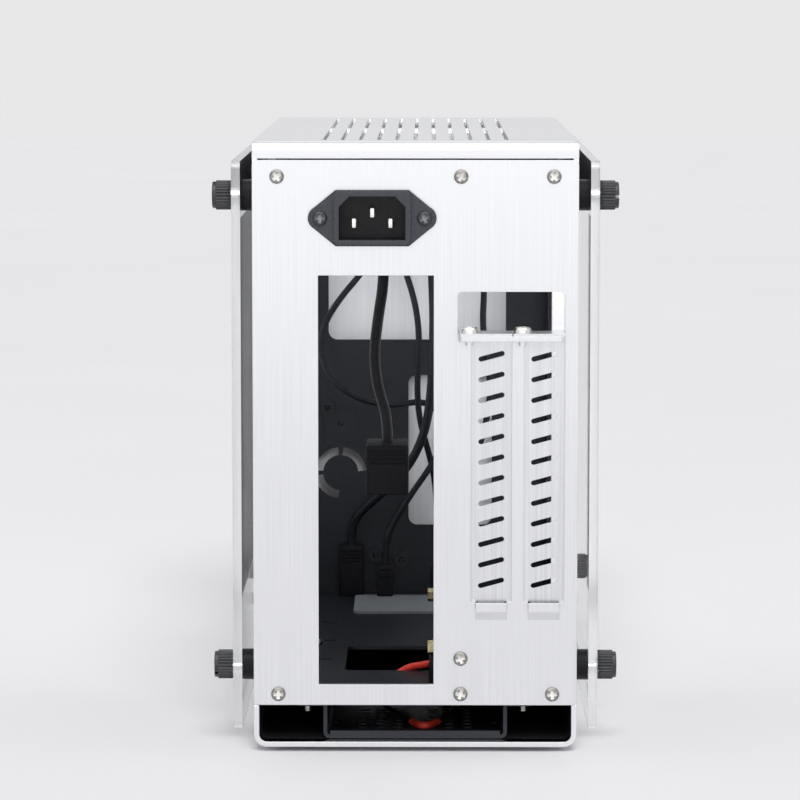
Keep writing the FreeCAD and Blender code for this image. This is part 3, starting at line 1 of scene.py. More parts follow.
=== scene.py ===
# %% [markdown]
# # A mini-tower computer case, dressed for its picture
#
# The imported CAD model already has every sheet, screw and lead at its true place. This lesson
# dresses it: a camera where the photographer stood, a pale studio, the loose leads as smooth
# curves, a finish for every surface, and small machined pieces that CAD keeps plain.
# Lengths are in metres, the back of the case faces -Y and +X is to the right.

# %% Load the frame
import math

import bmesh
import bpy
from mathutils import Matrix, Vector


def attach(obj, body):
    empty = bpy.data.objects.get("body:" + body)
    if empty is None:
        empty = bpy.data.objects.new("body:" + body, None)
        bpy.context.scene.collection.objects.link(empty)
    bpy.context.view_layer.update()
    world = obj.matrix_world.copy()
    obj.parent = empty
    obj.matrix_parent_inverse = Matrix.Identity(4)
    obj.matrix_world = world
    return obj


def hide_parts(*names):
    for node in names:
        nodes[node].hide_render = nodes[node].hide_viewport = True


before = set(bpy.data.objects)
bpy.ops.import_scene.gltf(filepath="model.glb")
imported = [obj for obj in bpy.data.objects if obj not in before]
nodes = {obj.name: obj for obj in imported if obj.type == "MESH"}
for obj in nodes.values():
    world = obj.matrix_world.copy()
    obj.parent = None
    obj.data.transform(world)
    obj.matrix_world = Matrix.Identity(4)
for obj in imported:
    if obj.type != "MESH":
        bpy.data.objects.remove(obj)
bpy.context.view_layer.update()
CASE = "case"
MM = 0.001

# %% [markdown]
# ## Camera
#
# The photo was taken from behind with a long lens: the sides of the case hardly converge. The
# distance comes from how much smaller the far edge of the lid is than the near one, and the
# tilt from how far that edge stands above it. The aim is a little left of square, so the
# camera is turned by less than half a degree instead of being shifted.

# %% Camera behind the case
REAR = -0.135
FOCAL_PIXELS, PICTURE_PIXELS = 3770, 800
CAMERA_ASIDE, CAMERA_DISTANCE, CAMERA_HEIGHT = 0.0048, 1.440, 0.2931
CAMERA_TILT, CAMERA_TURN = 6.17, 0.425
camera_data = bpy.data.cameras.new("rear_camera")
camera_data.sensor_width = 36.0
camera_data.lens = FOCAL_PIXELS / PICTURE_PIXELS * camera_data.sensor_width
camera_data.clip_start = 0.05
camera_data.clip_end = 50.0
camera = bpy.data.objects.new("rear_camera", camera_data)
bpy.context.scene.collection.objects.link(camera)
camera.location = (CAMERA_ASIDE, REAR - CAMERA_DISTANCE, CAMERA_HEIGHT)
camera.rotation_euler = (math.radians(90 - CAMERA_TILT), 0.0, math.radians(CAMERA_TURN))
bpy.context.scene.camera = camera
print("lens", round(camera_data.lens, 1), "mm")

# %% [markdown]
# ## Studio
#
# A pale seamless floor and a bright, even surround. Brushed metal is mostly a mirror of what
# stands around it, so the surround does the work. A wide sun adds soft direction without a
# bright patch on the floor. Two large panels of light, one facing the back plate and one
# overhead, are seen in reflections only: the plate mirrors the first above and the floor below,
# which gives the slow fade down the brushed metal. The side panels and the small lamp inside
# light matt surfaces only, so no reflection shows them.

# %% Floor, surround and lamps
def link(tree, start, end):
    """Join two sockets of a node tree."""
    tree.links.new(start, end)


def add_floor():
    """A wide pale floor with faint, broad clouds of tone."""
    bpy.ops.object.select_all(action="DESELECT")
    bpy.ops.mesh.primitive_plane_add(size=12.0, location=(0, 0, 0))
    floor = bpy.context.object
    floor.name = "studio_floor"
    finish = bpy.data.materials.new("studio_floor")
    finish.use_nodes = True
    tree = finish.node_tree
    shader = tree.nodes["Principled BSDF"]
    shader.inputs["Roughness"].default_value = 0.55
    shader.inputs["Specular IOR Level"].default_value = 0.25
    place = tree.nodes.new("ShaderNodeTexCoord")
    noise = tree.nodes.new("ShaderNodeTexNoise")
    noise.inputs["Scale"].default_value = 3.0
    ramp = tree.nodes.new("ShaderNodeValToRGB")
    ramp.color_ramp.elements[0].color = (0.80, 0.79, 0.81, 1)
    ramp.color_ramp.elements[1].color = (0.84, 0.83, 0.85, 1)
    link(tree, place.outputs["Object"], noise.inputs["Vector"])
    link(tree, noise.outputs["Fac"], ramp.inputs["Fac"])
    link(tree, ramp.outputs["Color"], shader.inputs["Base Color"])
    floor.data.materials.append(finish)


def light_world(strength, shown):
    """An even surround for light, and a plain tone where it is seen, mirrored or looked through."""
    world = bpy.data.worlds.new("studio")
    bpy.context.scene.world = world
    world.use_nodes = True
    tree = world.node_tree
    tree.nodes.clear()
    output = tree.nodes.new("ShaderNodeOutputWorld")
    light = tree.nodes.new("ShaderNodeBackground")
    light.inputs["Color"].default_value = (1.0, 1.0, 1.0, 1)
    light.inputs["Strength"].default_value = strength
    backdrop = tree.nodes.new("ShaderNodeBackground")
    backdrop.inputs["Color"].default_value = (*shown, 1)
    path = tree.nodes.new("ShaderNodeLightPath")
    seen = tree.nodes.new("ShaderNodeMath")
    seen.operation = "MAXIMUM"
    mirrored = tree.nodes.new("ShaderNodeMath")
    mirrored.operation = "MAXIMUM"
    mix = tree.nodes.new("ShaderNodeMixShader")
    link(tree, path.outputs["Is Camera Ray"], seen.inputs[0])
    link(tree, path.outputs["Is Glossy Ray"], seen.inputs[1])
    link(tree, seen.outputs[0], mirrored.inputs[0])
    link(tree, path.outputs["Is Transmission Ray"], mirrored.inputs[1])
    link(tree, mirrored.outputs[0], mix.inputs["Fac"])
    link(tree, light.outputs[0], mix.inputs[1])
    link(tree, backdrop.outputs[0], mix.inputs[2])
    link(tree, mix.outputs[0], output.inputs["Surface"])


def add_soft_box(name, place, aim, size, brightness, matt=True, mirrored=True):
    """A panel of light that matt surfaces, reflections or both can see."""
    data = bpy.data.lights.new(name, "AREA")
    data.shape = "RECTANGLE"
    data.size, data.size_y = size
    data.energy = brightness * math.pi * size[0] * size[1]
    lamp = bpy.data.objects.new(name, data)
    bpy.context.scene.collection.objects.link(lamp)
    lamp.location = place
    lamp.rotation_euler = (Vector(aim) - Vector(place)).to_track_quat("-Z", "Y").to_euler()
    lamp.visible_camera = False
    lamp.visible_diffuse = matt
    lamp.visible_glossy = mirrored
    lamp.visible_transmission = False


def add_sun(name, place, strength, width):
    """A wide sun that lights the floor evenly; reflections don't see it."""
    data = bpy.data.lights.new(name, "SUN")
    data.energy = strength
    data.angle = math.radians(width)
    lamp = bpy.data.objects.new(name, data)
    bpy.context.scene.collection.objects.link(lamp)
    lamp.rotation_euler = (-Vector(place)).to_track_quat("-Z", "Y").to_euler()
    lamp.visible_glossy = False


add_floor()
light_world(0.50, (0.805, 0.800, 0.812))
add_sun("key", (0.08, -1.0, 1.05), 2.05, 28)
add_soft_box("front_soft_box", (0.0, -1.25, 1.04), (0.0, 0.0, 1.04), (1.9, 1.95), 0.60, matt=False)
SIDE_BOX = dict(aim=(0, 0, 0.1), size=(0.8, 0.7), brightness=0.42, mirrored=False)
for side in (-1, 1):
    add_soft_box(f"side_soft_box_{side + 1}", (0.9 * side, 0.0, 0.45), **SIDE_BOX)
add_soft_box("inner_fill", (0.0, -0.03, 0.170), (0.0, 0.143, 0.165), (0.08, 0.06), 10.0, mirrored=False)
add_soft_box("top_soft_box", (0.0, -0.55, 1.4), (0.0, -0.1, 0.1), (2.4, 1.0), 1.4, matt=False)
bpy.context.scene.view_settings.view_transform = "Standard"

# %% [markdown]
# ## Loose leads
#
# Inside hang the leads of the front sockets, the switch and the mains inlet, and a drive lead
# lies in the tray below. Each is one smooth spline through listed points, with a round
# section. A spline of order 3 stays inside the corners of its points, as a real lead does. The
# section is one metre times the radius of each point, which keeps the curve's own box as thin
# as the lead.

# %% Leads as smooth curves
ROUTES = {
    "inlet_lead": [
        (-16.5, -99.0, 207.425), (-16.5, -89.0, 207.425), (-15.0, -78.0, 202.6), (-13.0, -69.0, 191.9),
        (-13.0, -63.0, 176.8), (-15.5, -60.0, 161.1), (-17.0, -59.0, 147.4), (-15.5, -58.5, 134.3),
        (-11.5, -58.0, 122.1), (-11.5, -58.0, 112.0),
    ],
    "usb_lead": [
        (6.0, 118.8, 182.1), (6.0, 109.0, 182.1), (6.5, 98.0, 176.0), (7.0, 90.5, 163.5),
        (7.5, 88.0, 147.5), (7.0, 89.0, 130.0), (6.0, 93.0, 113.0), (3.5, 98.0, 97.5),
        (-2.5, 103.5, 83.5), (-11.0, 109.5, 73.0), (-20.0, 116.0, 64.5), (-27.0, 121.5, 57.5),
        (-30.0, 124.5, 50.3), (-30.0, 124.5, 43.1),
    ],
    "audio_lead": [
        (-10.0, 118.8, 182.1), (-10.0, 110.0, 182.1), (-8.5, 101.0, 178.5), (-5.0, 95.5, 169.5),
        (-1.0, 93.5, 157.0), (1.0, 94.0, 143.0), (0.5, 96.0, 128.5), (0.0, 99.5, 114.0),
        (1.5, 105.0, 100.5), (5.0, 110.5, 88.0), (8.0, 114.0, 74.5), (9.0, 114.5, 60.5),
        (9.5, 114.0, 47.5), (9.5, 114.0, 35.3),
    ],
    "switch_lead": [
        (-2.6, 123.0, 206.0), (-2.6, 115.0, 206.0), (-5.0, 107.0, 202.0), (-10.0, 101.5, 193.5),
        (-16.5, 99.0, 182.0), (-25.0, 98.0, 168.5), (-35.0, 97.5, 157.0), (-42.5, 97.0, 144.5),
        (-43.0, 97.0, 131.0), (-36.0, 98.0, 118.5), (-23.0, 101.0, 111.0), (-9.0, 105.0, 109.0),
        (3.0, 108.0, 111.0), (11.0, 108.0, 105.0), (12.5, 107.0, 93.5), (6.5, 107.5, 81.5),
        (-1.5, 109.5, 70.0), (-9.0, 112.0, 58.0), (-14.5, 113.5, 46.5), (-14.5, 113.5, 35.3),
    ],
    "light_lead": [
        (2.6, 123.0, 206.0), (2.6, 114.5, 206.0), (6.0, 106.5, 203.5), (13.5, 101.5, 197.5),
        (22.0, 99.0, 188.0), (28.0, 98.0, 176.0), (30.0, 97.5, 162.0), (29.0, 97.5, 147.0),
        (31.0, 98.0, 132.0), (33.0, 99.0, 117.0), (31.0, 100.0, 102.0), (27.0, 101.0, 88.0),
        (24.5, 102.0, 74.5), (24.0, 103.0, 61.0), (23.0, 103.5, 48.0), (23.0, 103.5, 35.3),
    ],
    "data_lead": [
        (16.0, -72.0, 7.25), (16.0, -86.0, 7.25), (13.0, -100.0, 7.25), (8.0, -112.0, 7.25),
        (3.5, -121.0, 7.25), (-1.0, -112.0, 7.25), (-3.5, -100.0, 7.25), (-8.5, -87.5, 7.25),
        (-13.5, -77.0, 8.5), (-14.0, -68.0, 12.5), (-8.5, -64.5, 17.0), (-3.0, -66.0, 20.9),
        (1.5, -68.5, 22.1), (6.0, -71.5, 23.4), (8.1, -77.5, 25.35), (8.1, -88.0, 25.35),
    ],
}
LEAD_RADIUS = {
    "inlet_lead": 2.2, "usb_lead": 2.0, "audio_lead": 1.4,
    "switch_lead": 1.4, "light_lead": 1.4, "data_lead": 1.5,
}
LEAD_PLUGS = {
    "inlet_lead": "inlet_plug", "usb_lead": "usb_plug", "audio_lead": "audio_plug",
    "switch_lead": "switch_plug", "light_lead": "light_plug", "data_lead": "data_plugs",
}


def make_lead(node):
    """A lead as one NURBS curve with a round section, standing for its CAD tube."""
    curve = bpy.data.curves.new(f"{node}_curve", "CURVE")
    curve.dimensions = "3D"
    curve.resolution_u = 10
    curve.bevel_depth = 1.0
    curve.bevel_resolution = 5
    curve.use_fill_caps = True
    spline = curve.splines.new("NURBS")
    route = ROUTES[node]
    spline.points.add(len(route) - 1)
    for point, place in zip(spline.points, route):
        point.co = (place[0] * MM, place[1] * MM, place[2] * MM, 1)
        point.radius = LEAD_RADIUS[node] * MM
    spline.order_u = 3
    spline.use_endpoint_u = True
    lead = bpy.data.objects.new(f"{node}_curve", curve)
    bpy.context.scene.collection.objects.link(lead)
    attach(lead, CASE)
    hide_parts(node)
    return lead


def line_length(curve_object):
    """Length of the curve's own line, read from a copy with no section."""
    plain = curve_object.copy()
    plain.data = curve_object.data.copy()
    plain.data.bevel_depth = 0
    bpy.context.scene.collection.objects.link(plain)
    graph = bpy.context.evaluated_depsgraph_get()
    mesh = bpy.data.meshes.new_from_object(plain.evaluated_get(graph), depsgraph=graph)
    steps = [[mesh.vertices[number].co for number in edge.vertices] for edge in mesh.edges]
    length = sum((start - end).length for start, end in steps)
    bpy.data.objects.remove(plain)
    return length


leads = {}
for node in ROUTES:
    lead = make_lead(node)
    leads[node] = lead
    print(node, "is", round(line_length(lead) * 1000), "mm long")

# %% [markdown]
# ## Finishes
#
# Every finish is built from nodes in the object's own coordinates, so nothing slides when the
# case is turned. One noise, drawn out along the direction of brushing, drives three things
# together: the tone of the metal, its roughness and a very shallow relief. That is what real
# brushing does, and a colour alone would look like paint. A small bevel in the shading rounds
# the sharp edges of the folded sheets, which is where thin metal catches its brightest lines.

# %% Node helpers
def new_finish(name):
    """A new material, its node tree and the shader it starts with."""
    finish = bpy.data.materials.new(name)
    finish.use_nodes = True
    tree = finish.node_tree
    return finish, tree, tree.nodes["Principled BSDF"]


def grain(tree, stretch, detail=2.0):
    """Noise in object coordinates; stretch is its density along each axis, per metre."""
    place = tree.nodes.new("ShaderNodeTexCoord")
    mapping = tree.nodes.new("ShaderNodeMapping")
    mapping.inputs["Scale"].default_value = stretch
    noise = tree.nodes.new("ShaderNodeTexNoise")
    noise.inputs["Scale"].default_value = 1.0
    noise.inputs["Detail"].default_value = detail
    link(tree, place.outputs["Object"], mapping.inputs["Vector"])
    link(tree, mapping.outputs["Vector"], noise.inputs["Vector"])
    return noise.outputs["Fac"]


def tones(tree, value, dark, light):
    """Carry the noise's usual range over to a run between two tones."""
    ramp = tree.nodes.new("ShaderNodeValToRGB")
    ramp.color_ramp.elements[0].position = 0.3
    ramp.color_ramp.elements[0].color = (*dark, 1)
    ramp.color_ramp.elements[1].position = 0.7
    ramp.color_ramp.elements[1].color = (*light, 1)
    link(tree, value, ramp.inputs["Fac"])
    return ramp.outputs["Color"]


def spread(tree, value, low, high):
    """Carry the noise's usual range over to another range."""
    node = tree.nodes.new("ShaderNodeMapRange")
    node.inputs["From Min"].default_value = 0.3
    node.inputs["From Max"].default_value = 0.7
    node.inputs["To Min"].default_value = low
    node.inputs["To Max"].default_value = high
    link(tree, value, node.inputs["Value"])
    return node.outputs["Result"]


def relief(tree, shader, value, depth, edge=0.0):
    """Shallow bumps from the noise, over edges that are rounded in the shading."""
    bump = tree.nodes.new("ShaderNodeBump")
    bump.inputs["Distance"].default_value = depth
    link(tree, value, bump.inputs["Height"])
    if edge:
        bevel = tree.nodes.new("ShaderNodeBevel")
        bevel.samples = 4
        bevel.inputs["Radius"].default_value = edge
        link(tree, bevel.outputs["Normal"], bump.inputs["Normal"])
    link(tree, bump.outputs["Normal"], shader.inputs["Normal"])


def coat(tree, dark, light, rough, stretch, depth, metallic=0.0, edge=0.0, specular=0.5):
    """A shader whose tone, roughness and relief all follow one noise."""
    shader = tree.nodes.new("ShaderNodeBsdfPrincipled")
    shader.inputs["Metallic"].default_value = metallic
    shader.inputs["Specular IOR Level"].default_value = specular
    value = grain(tree, stretch)
    link(tree, tones(tree, value, dark, light), shader.inputs["Base Color"])
    link(tree, spread(tree, value, *rough), shader.inputs["Roughness"])
    relief(tree, shader, value, depth, edge)
    return shader.outputs["BSDF"]


def calculate(tree, operation, *values):
    """A math node; each value is a number or a socket."""
    node = tree.nodes.new("ShaderNodeMath")
    node.operation = operation
    for number, value in enumerate(values):
        if isinstance(value, (int, float)):
            node.inputs[number].default_value = value
        else:
            link(tree, value, node.inputs[number])
    return node.outputs[0]


def box_mask(tree, low, high):
    """1 inside a box between two corners in object coordinates, 0 outside."""
    place = tree.nodes.new("ShaderNodeTexCoord")
    parts = tree.nodes.new("ShaderNodeSeparateXYZ")
    link(tree, place.outputs["Object"], parts.inputs["Vector"])
    inside = 1.0
    for axis, start, end in zip("XYZ", low, high):
        over = calculate(tree, "GREATER_THAN", parts.outputs[axis], start)
        under = calculate(tree, "LESS_THAN", parts.outputs[axis], end)
        both = calculate(tree, "MULTIPLY", over, under)
        inside = calculate(tree, "MULTIPLY", both, inside)
    return inside


def rise_along(tree, axis, start, end):
    """A share that rises smoothly from 0 to 1 between two places on an axis of the object."""
    place = tree.nodes.new("ShaderNodeTexCoord")
    parts = tree.nodes.new("ShaderNodeSeparateXYZ")
    link(tree, place.outputs["Object"], parts.inputs["Vector"])
    ramp = tree.nodes.new("ShaderNodeMapRange")
    ramp.interpolation_type = "SMOOTHSTEP"
    link(tree, parts.outputs[axis], ramp.inputs["Value"])
    ramp.inputs["From Min"].default_value = start
    ramp.inputs["From Max"].default_value = end
    return ramp.outputs["Result"]


def blend(tree, share, first, second):
    """The first shader where the share is 0, the second where it is 1."""
    mix = tree.nodes.new("ShaderNodeMixShader")
    link(tree, share, mix.inputs["Fac"])
    link(tree, first, mix.inputs[1])
    link(tree, second, mix.inputs[2])
    return mix.outputs["Shader"]


def layered(name, base, *patches):
    """A finish of one coat, with another coat inside each given box."""
    finish, tree, shader = new_finish(name)
    tree.nodes.remove(shader)
    shown = coat(tree, **base)
    for settings, low, high in patches:
        shown = blend(tree, box_mask(tree, low, high), shown, coat(tree, **settings))
    link(tree, shown, tree.nodes["Material Output"].inputs["Surface"])
    return finish


def surface(name, dark, light, rough, stretch, depth, **more):
    """A finish of one coat."""
    return layered(name, dict(dark=dark, light=light, rough=rough, stretch=stretch, depth=depth, **more))


print("finish helpers ready")

# %% [markdown]
# ### Brushed sheet, black inside
#
# The plates are brushed upright and the lid across. A sheet can look different on its two sides:
# the folded base is silver outside but black inside, as the dark hollow under the back plate
# shows, and the front plate is only satin inside. Such a finish has several coats, and boxes in
# the object's own coordinates say where each of them lies. The lid has three: its top, toned
# lighter than the rest as painted light, its folded flanges, and the satin walls of its vents
# and its underside.

# %% Silver finishes
FINE, LONG = 2200.0, 18.0
FAR = 1.0
UPRIGHT = dict(
    dark=(0.73, 0.74, 0.76), light=(0.79, 0.80, 0.82), rough=(0.29, 0.34),
    stretch=(FINE, FINE, LONG), depth=0.00001, metallic=1.0, edge=0.0003,
)
ACROSS = dict(
    dark=(0.72, 0.73, 0.75), light=(0.78, 0.79, 0.81), rough=(0.30, 0.38),
    stretch=(LONG, FINE, FINE), depth=0.00002, metallic=1.0, edge=0.0004,
)
# The lid's top is toned lighter than its flanges, standing for the light that falls on it: painted light.
ACROSS_TOP_PAINTED_LIGHT = dict(ACROSS, dark=(0.77, 0.78, 0.79), light=(0.82, 0.83, 0.84))
SATIN = dict(
    dark=(0.78, 0.79, 0.82), light=(0.85, 0.86, 0.89), rough=(0.40, 0.48),
    stretch=(FINE, FINE, LONG), depth=0.00001, edge=0.0003,
)
FOLDED = dict(
    dark=(0.80, 0.81, 0.83), light=(0.88, 0.89, 0.91), rough=(0.12, 0.18),
    stretch=(FINE, LONG, FINE), depth=0.000003, metallic=1.0, edge=0.0004,
)
NEAR_BLACK = dict(
    dark=(0.008, 0.008, 0.010), light=(0.016, 0.016, 0.019), rough=(0.50, 0.60),
    stretch=(1400.0, 1400.0, 1400.0), depth=0.00001,
)
aluminium_upright = layered("brushed_aluminium_upright", UPRIGHT)
front_finish = layered("front_plate", UPRIGHT, (SATIN, (-FAR, -FAR, 0.0), (FAR, 0.1440, FAR)))
lid_finish = layered(
    "folded_lid", ACROSS,
    (ACROSS_TOP_PAINTED_LIGHT, (-FAR, -FAR, 0.2364), (FAR, FAR, FAR)),
    (SATIN, (-0.0610, -0.1330, 0.0), (0.0610, 0.1430, 0.23655)),
)
shell_finish = layered("folded_base", FOLDED, (NEAR_BLACK, (-0.06055, -0.1285, 0.00395), (0.06055, FAR, FAR)))
cover_steel = surface(
    "brushed_cover_steel", (0.67, 0.68, 0.70), (0.76, 0.77, 0.79), (0.28, 0.38),
    (1500.0, 1500.0, 14.0), 0.00003, metallic=1.0, edge=0.0002,
)
bright_steel = surface(
    "plated_screw_steel", (0.70, 0.69, 0.67), (0.86, 0.85, 0.82), (0.16, 0.28),
    (900.0, 900.0, 900.0), 0.00001, metallic=1.0,
)
contact_metal = surface(
    "tinned_contacts", (0.86, 0.85, 0.80), (0.95, 0.94, 0.90), (0.18, 0.30),
    (700.0, 700.0, 700.0), 0.00001, metallic=1.0,
)
brass = surface(
    "pale_brass", (0.78, 0.68, 0.36), (0.90, 0.82, 0.52), (0.20, 0.32),
    (800.0, 800.0, 800.0), 0.00001, metallic=1.0,
)
print("silver finishes ready")

# %% [markdown]
# ### Blacks, rubber and clear acrylic
#
# No black is really black: powder coat, moulded plastic, anodising and rubber differ in how
# rough and how speckled they are. The acrylic is a true refracting solid, so its mirror-like
# grazing reflections come by themselves. Away from its back edge each panel is also partly
# see-through, more on the right; the left panel is kept darker, which is painted shade for the
# darker light on that side. Its sawn edges are frosted, and their pale coat is partly a painted
# glow of light carried along the sheet. A near-black band inside its top edge is a painted dark
# reflection. For shadow and diffuse rays it turns transparent, because clear sheet hardly shades
# the case that it covers.

# %% Dark and clear finishes
SHEET = dict(
    dark=(0.007, 0.008, 0.012), light=(0.014, 0.016, 0.023), rough=(0.38, 0.50),
    stretch=(1600.0, 1600.0, 1600.0), depth=0.00001, edge=0.0002,
)
PAD = dict(
    dark=(0.15, 0.165, 0.18), light=(0.22, 0.235, 0.25), rough=(0.65, 0.75),
    stretch=(1800.0, 1800.0, 1800.0), depth=0.00002,
)
black_sheet = layered("satin_black_sheet", SHEET)
floor_finish = layered("floor_with_pad", SHEET, (PAD, (-0.0285, 0.0705, 0.0202), (0.0285, FAR, FAR)))
MOULDED = dict(
    dark=(0.022, 0.025, 0.033), light=(0.034, 0.038, 0.048), rough=(0.24, 0.34),
    stretch=(1200.0, 1200.0, 1200.0), depth=0.00003, edge=0.0006,
)
# The inlet's recess takes a darker, less shiny coat than its flange: painted shade.
RECESS_PAINTED_SHADE = dict(MOULDED, dark=(0.006, 0.007, 0.010), light=(0.011, 0.012, 0.016), edge=0.0003, specular=0.25)
moulded_plastic = layered("moulded_plastic", MOULDED, (RECESS_PAINTED_SHADE, (-0.05, -0.1345, 0.0), (0.05, FAR, FAR)))
black_anodised = surface(
    "black_anodised", (0.006, 0.007, 0.010), (0.014, 0.016, 0.021), (0.14, 0.22),
    (1500.0, 1500.0, 1500.0), 0.00001, specular=0.7,
)
standoff_black = surface(
    "dull_anodised", (0.004, 0.004, 0.006), (0.009, 0.010, 0.013), (0.26, 0.36),
    (1500.0, 1500.0, 1500.0), 0.00001, specular=0.2,
)
SHEATH = dict(
    dark=(0.006, 0.007, 0.010), light=(0.014, 0.015, 0.020), rough=(0.36, 0.48),
    stretch=(600.0, 600.0, 600.0), depth=0.00002, specular=0.35,
)
RED = dict(SHEATH, dark=(0.74, 0.040, 0.022), light=(0.90, 0.075, 0.042), specular=0.5)
black_lead = layered("black_lead_sheath", SHEATH)
# In the tray the red lead takes the black sheath, except at the bend nearest the back and where it rises:
# painted shade.
red_lead = layered("red_lead_painted_shade", RED, (SHEATH, (-FAR, -0.1105, 0.0), (FAR, FAR, 0.0165)))
foot_rubber = surface(
    "foot_rubber", (0.012, 0.012, 0.013), (0.024, 0.024, 0.026), (0.60, 0.75),
    (900.0, 900.0, 900.0), 0.00004,
)
circuit_board = surface(
    "circuit_board", (0.010, 0.040, 0.022), (0.018, 0.065, 0.036), (0.30, 0.45),
    (400.0, 400.0, 400.0), 0.00001,
)
dull_plastic = surface(
    "dull_black_plastic", (0.004, 0.004, 0.006), (0.010, 0.011, 0.014), (0.45, 0.60),
    (1200.0, 1200.0, 1200.0), 0.00003, edge=0.0004, specular=0.2,
)
# The sawn edges are frosted, and their pale coat is partly a painted glow of light carried along the sheet.
SAWN_FROST_AND_GLOW = dict(
    dark=(0.72, 0.73, 0.75), light=(0.84, 0.85, 0.87), rough=(0.50, 0.60),
    stretch=(300.0, 300.0, 20.0), depth=0.00002,
)
EDGE_DEPTH, EDGE_FROST, EDGE_FROST_AND_GLOW = 0.0006, 0.25, 0.35
INNER_FACE, DARK_BAND_LOW, MIRROR_DEPTH = 0.0671, 0.2105, 0.030
ACRYLIC_BEND = 1.49


def clear_acrylic(name, panel, see_through):
    """Acrylic with frosted edges that partly carry a painted glow, a painted dark reflection band, partly
    see-through away from its back edge.
    """
    finish, tree, shader = new_finish(name)
    shader.inputs["Transmission Weight"].default_value = 1.0
    shader.inputs["IOR"].default_value = ACRYLIC_BEND
    haze = grain(tree, (90.0, 90.0, 90.0))
    link(tree, tones(tree, haze, (0.955, 0.968, 0.970), (0.985, 0.990, 0.992)), shader.inputs["Base Color"])
    spots = [panel.matrix_world @ Vector(corner) for corner in panel.bound_box]
    low = [-FAR] + [min(spot[axis] for spot in spots) + EDGE_DEPTH for axis in (1, 2)]
    high = [FAR] + [max(spot[axis] for spot in spots) - EDGE_DEPTH for axis in (1, 2)]
    body = box_mask(tree, low, high)
    edge = calculate(tree, "SUBTRACT", 1.0, body)
    inwards = rise_along(tree, "Y", low[1], low[1] + MIRROR_DEPTH)
    thinned = calculate(tree, "MULTIPLY", calculate(tree, "MULTIPLY", body, inwards), see_through)
    frosted = calculate(tree, "MULTIPLY_ADD", edge, EDGE_FROST, spread(tree, haze, 0.0, 0.02))
    link(tree, frosted, shader.inputs["Roughness"])
    path = tree.nodes.new("ShaderNodeLightPath")
    unshaded = calculate(tree, "MAXIMUM", path.outputs["Is Shadow Ray"], path.outputs["Is Diffuse Ray"])
    clear = tree.nodes.new("ShaderNodeBsdfTransparent")
    clear.inputs["Color"].default_value = (0.975, 0.978, 0.980, 1)
    share = calculate(tree, "MAXIMUM", unshaded, thinned)
    frost_and_glow_share = calculate(tree, "MULTIPLY", edge, EDGE_FROST_AND_GLOW)
    edge_frost_and_glow = blend(tree, frost_and_glow_share, shader.outputs["BSDF"], coat(tree, **SAWN_FROST_AND_GLOW))
    sheet = blend(tree, share, edge_frost_and_glow, clear.outputs["BSDF"])
    # A near-black band on the inner face, from just above the standoffs to the top edge: a painted dark
    # reflection.
    painted_dark_band = box_mask(tree, (-INNER_FACE, -FAR, DARK_BAND_LOW), (INNER_FACE, FAR, FAR))
    shown = blend(tree, painted_dark_band, sheet, coat(tree, **NEAR_BLACK))
    link(tree, shown, tree.nodes["Material Output"].inputs["Surface"])
    return finish


# The left panel is far less see-through than the right, so that it reads darker: painted shade for the
# darker light on that side.
acrylic_left = clear_acrylic("clear_acrylic_left", nodes["side_panel_left"], see_through=0.10)
acrylic_right = clear_acrylic("clear_acrylic_right", nodes["side_panel_right"], see_through=0.90)
print("dark and clear finishes ready")

# %% [markdown]
# ## Paint the CAD nodes
#
# Each node takes the finish of the stuff it is made from. The list runs by finish, so that a
# change of stuff is one line, and the count at the end shows whether any node was missed.

# %% Finishes on the nodes
def wear(thing, finish):
    """Give an object one finish."""
    thing.data.materials.clear()
    thing.data.materials.append(finish)


FINISH_OF = [
    (aluminium_upright, ["rear_panel"]),
    (front_finish, ["front_panel"]),
    (lid_finish, ["top_cover"]),
    (shell_finish, ["base_shell"]),
    (cover_steel, ["slot_cover_1", "slot_cover_2"]),
    (bright_steel, ["switch_body", "switch_nut", "power_button"]),
    (contact_metal, ["usb_sockets"]),
    (brass, ["board_standoffs"]),
    (black_sheet, ["motherboard_tray", "drive_tray", "front_frame", "usb_bracket"]),
    (floor_finish, ["floor_plate"]),
    (moulded_plastic, ["power_inlet"]),
    (dull_plastic, ["inlet_boot", *LEAD_PLUGS.values()]),
    (standoff_black, ["standoffs_left", "standoffs_right"]),
    (circuit_board, ["usb_board"]),
    (foot_rubber, ["feet"]),
    (acrylic_left, ["side_panel_left"]),
    (acrylic_right, ["side_panel_right"]),
]
for finish, names in FINISH_OF:
    for name in names:
        wear(nodes[name], finish)
for node, lead in leads.items():
    wear(lead, red_lead if node == "data_lead" else black_lead)
painted = {name for _, names in FINISH_OF for name in names}
print("painted", len(painted), "nodes; modelled below:", sorted(set(nodes) - painted - set(leads)))

# %% [markdown]
# ## Tools for small pieces
#
# The small pieces start from a cylinder or a box and are worked in edit mode: faces are picked by
# the way they look, then inset, extruded or bevelled. A cutter takes its volume out of a piece
# with a boolean. The boxes of the separate CAD solids say where each piece goes.

# %% Tools for modelling in edit mode
AXIS_TURN = {
    "-Y": Matrix.Rotation(math.radians(90), 4, "X"),
    "+Y": Matrix.Rotation(math.radians(-90), 4, "X"),
    "-X": Matrix.Rotation(math.radians(-90), 4, "Y"),
    "+X": Matrix.Rotation(math.radians(90), 4, "Y"),
    "+Z": Matrix.Identity(4),
}


FACING = 0.9


def start_edit():
    """Open the active piece in edit mode with nothing selected."""
    bpy.ops.object.mode_set(mode="EDIT")
    bpy.ops.mesh.select_all(action="DESELECT")


def end_edit():
    """Keep the edits and go back to object mode."""
    bmesh.update_edit_mesh(bpy.context.object.data)
    bpy.ops.object.mode_set(mode="OBJECT")


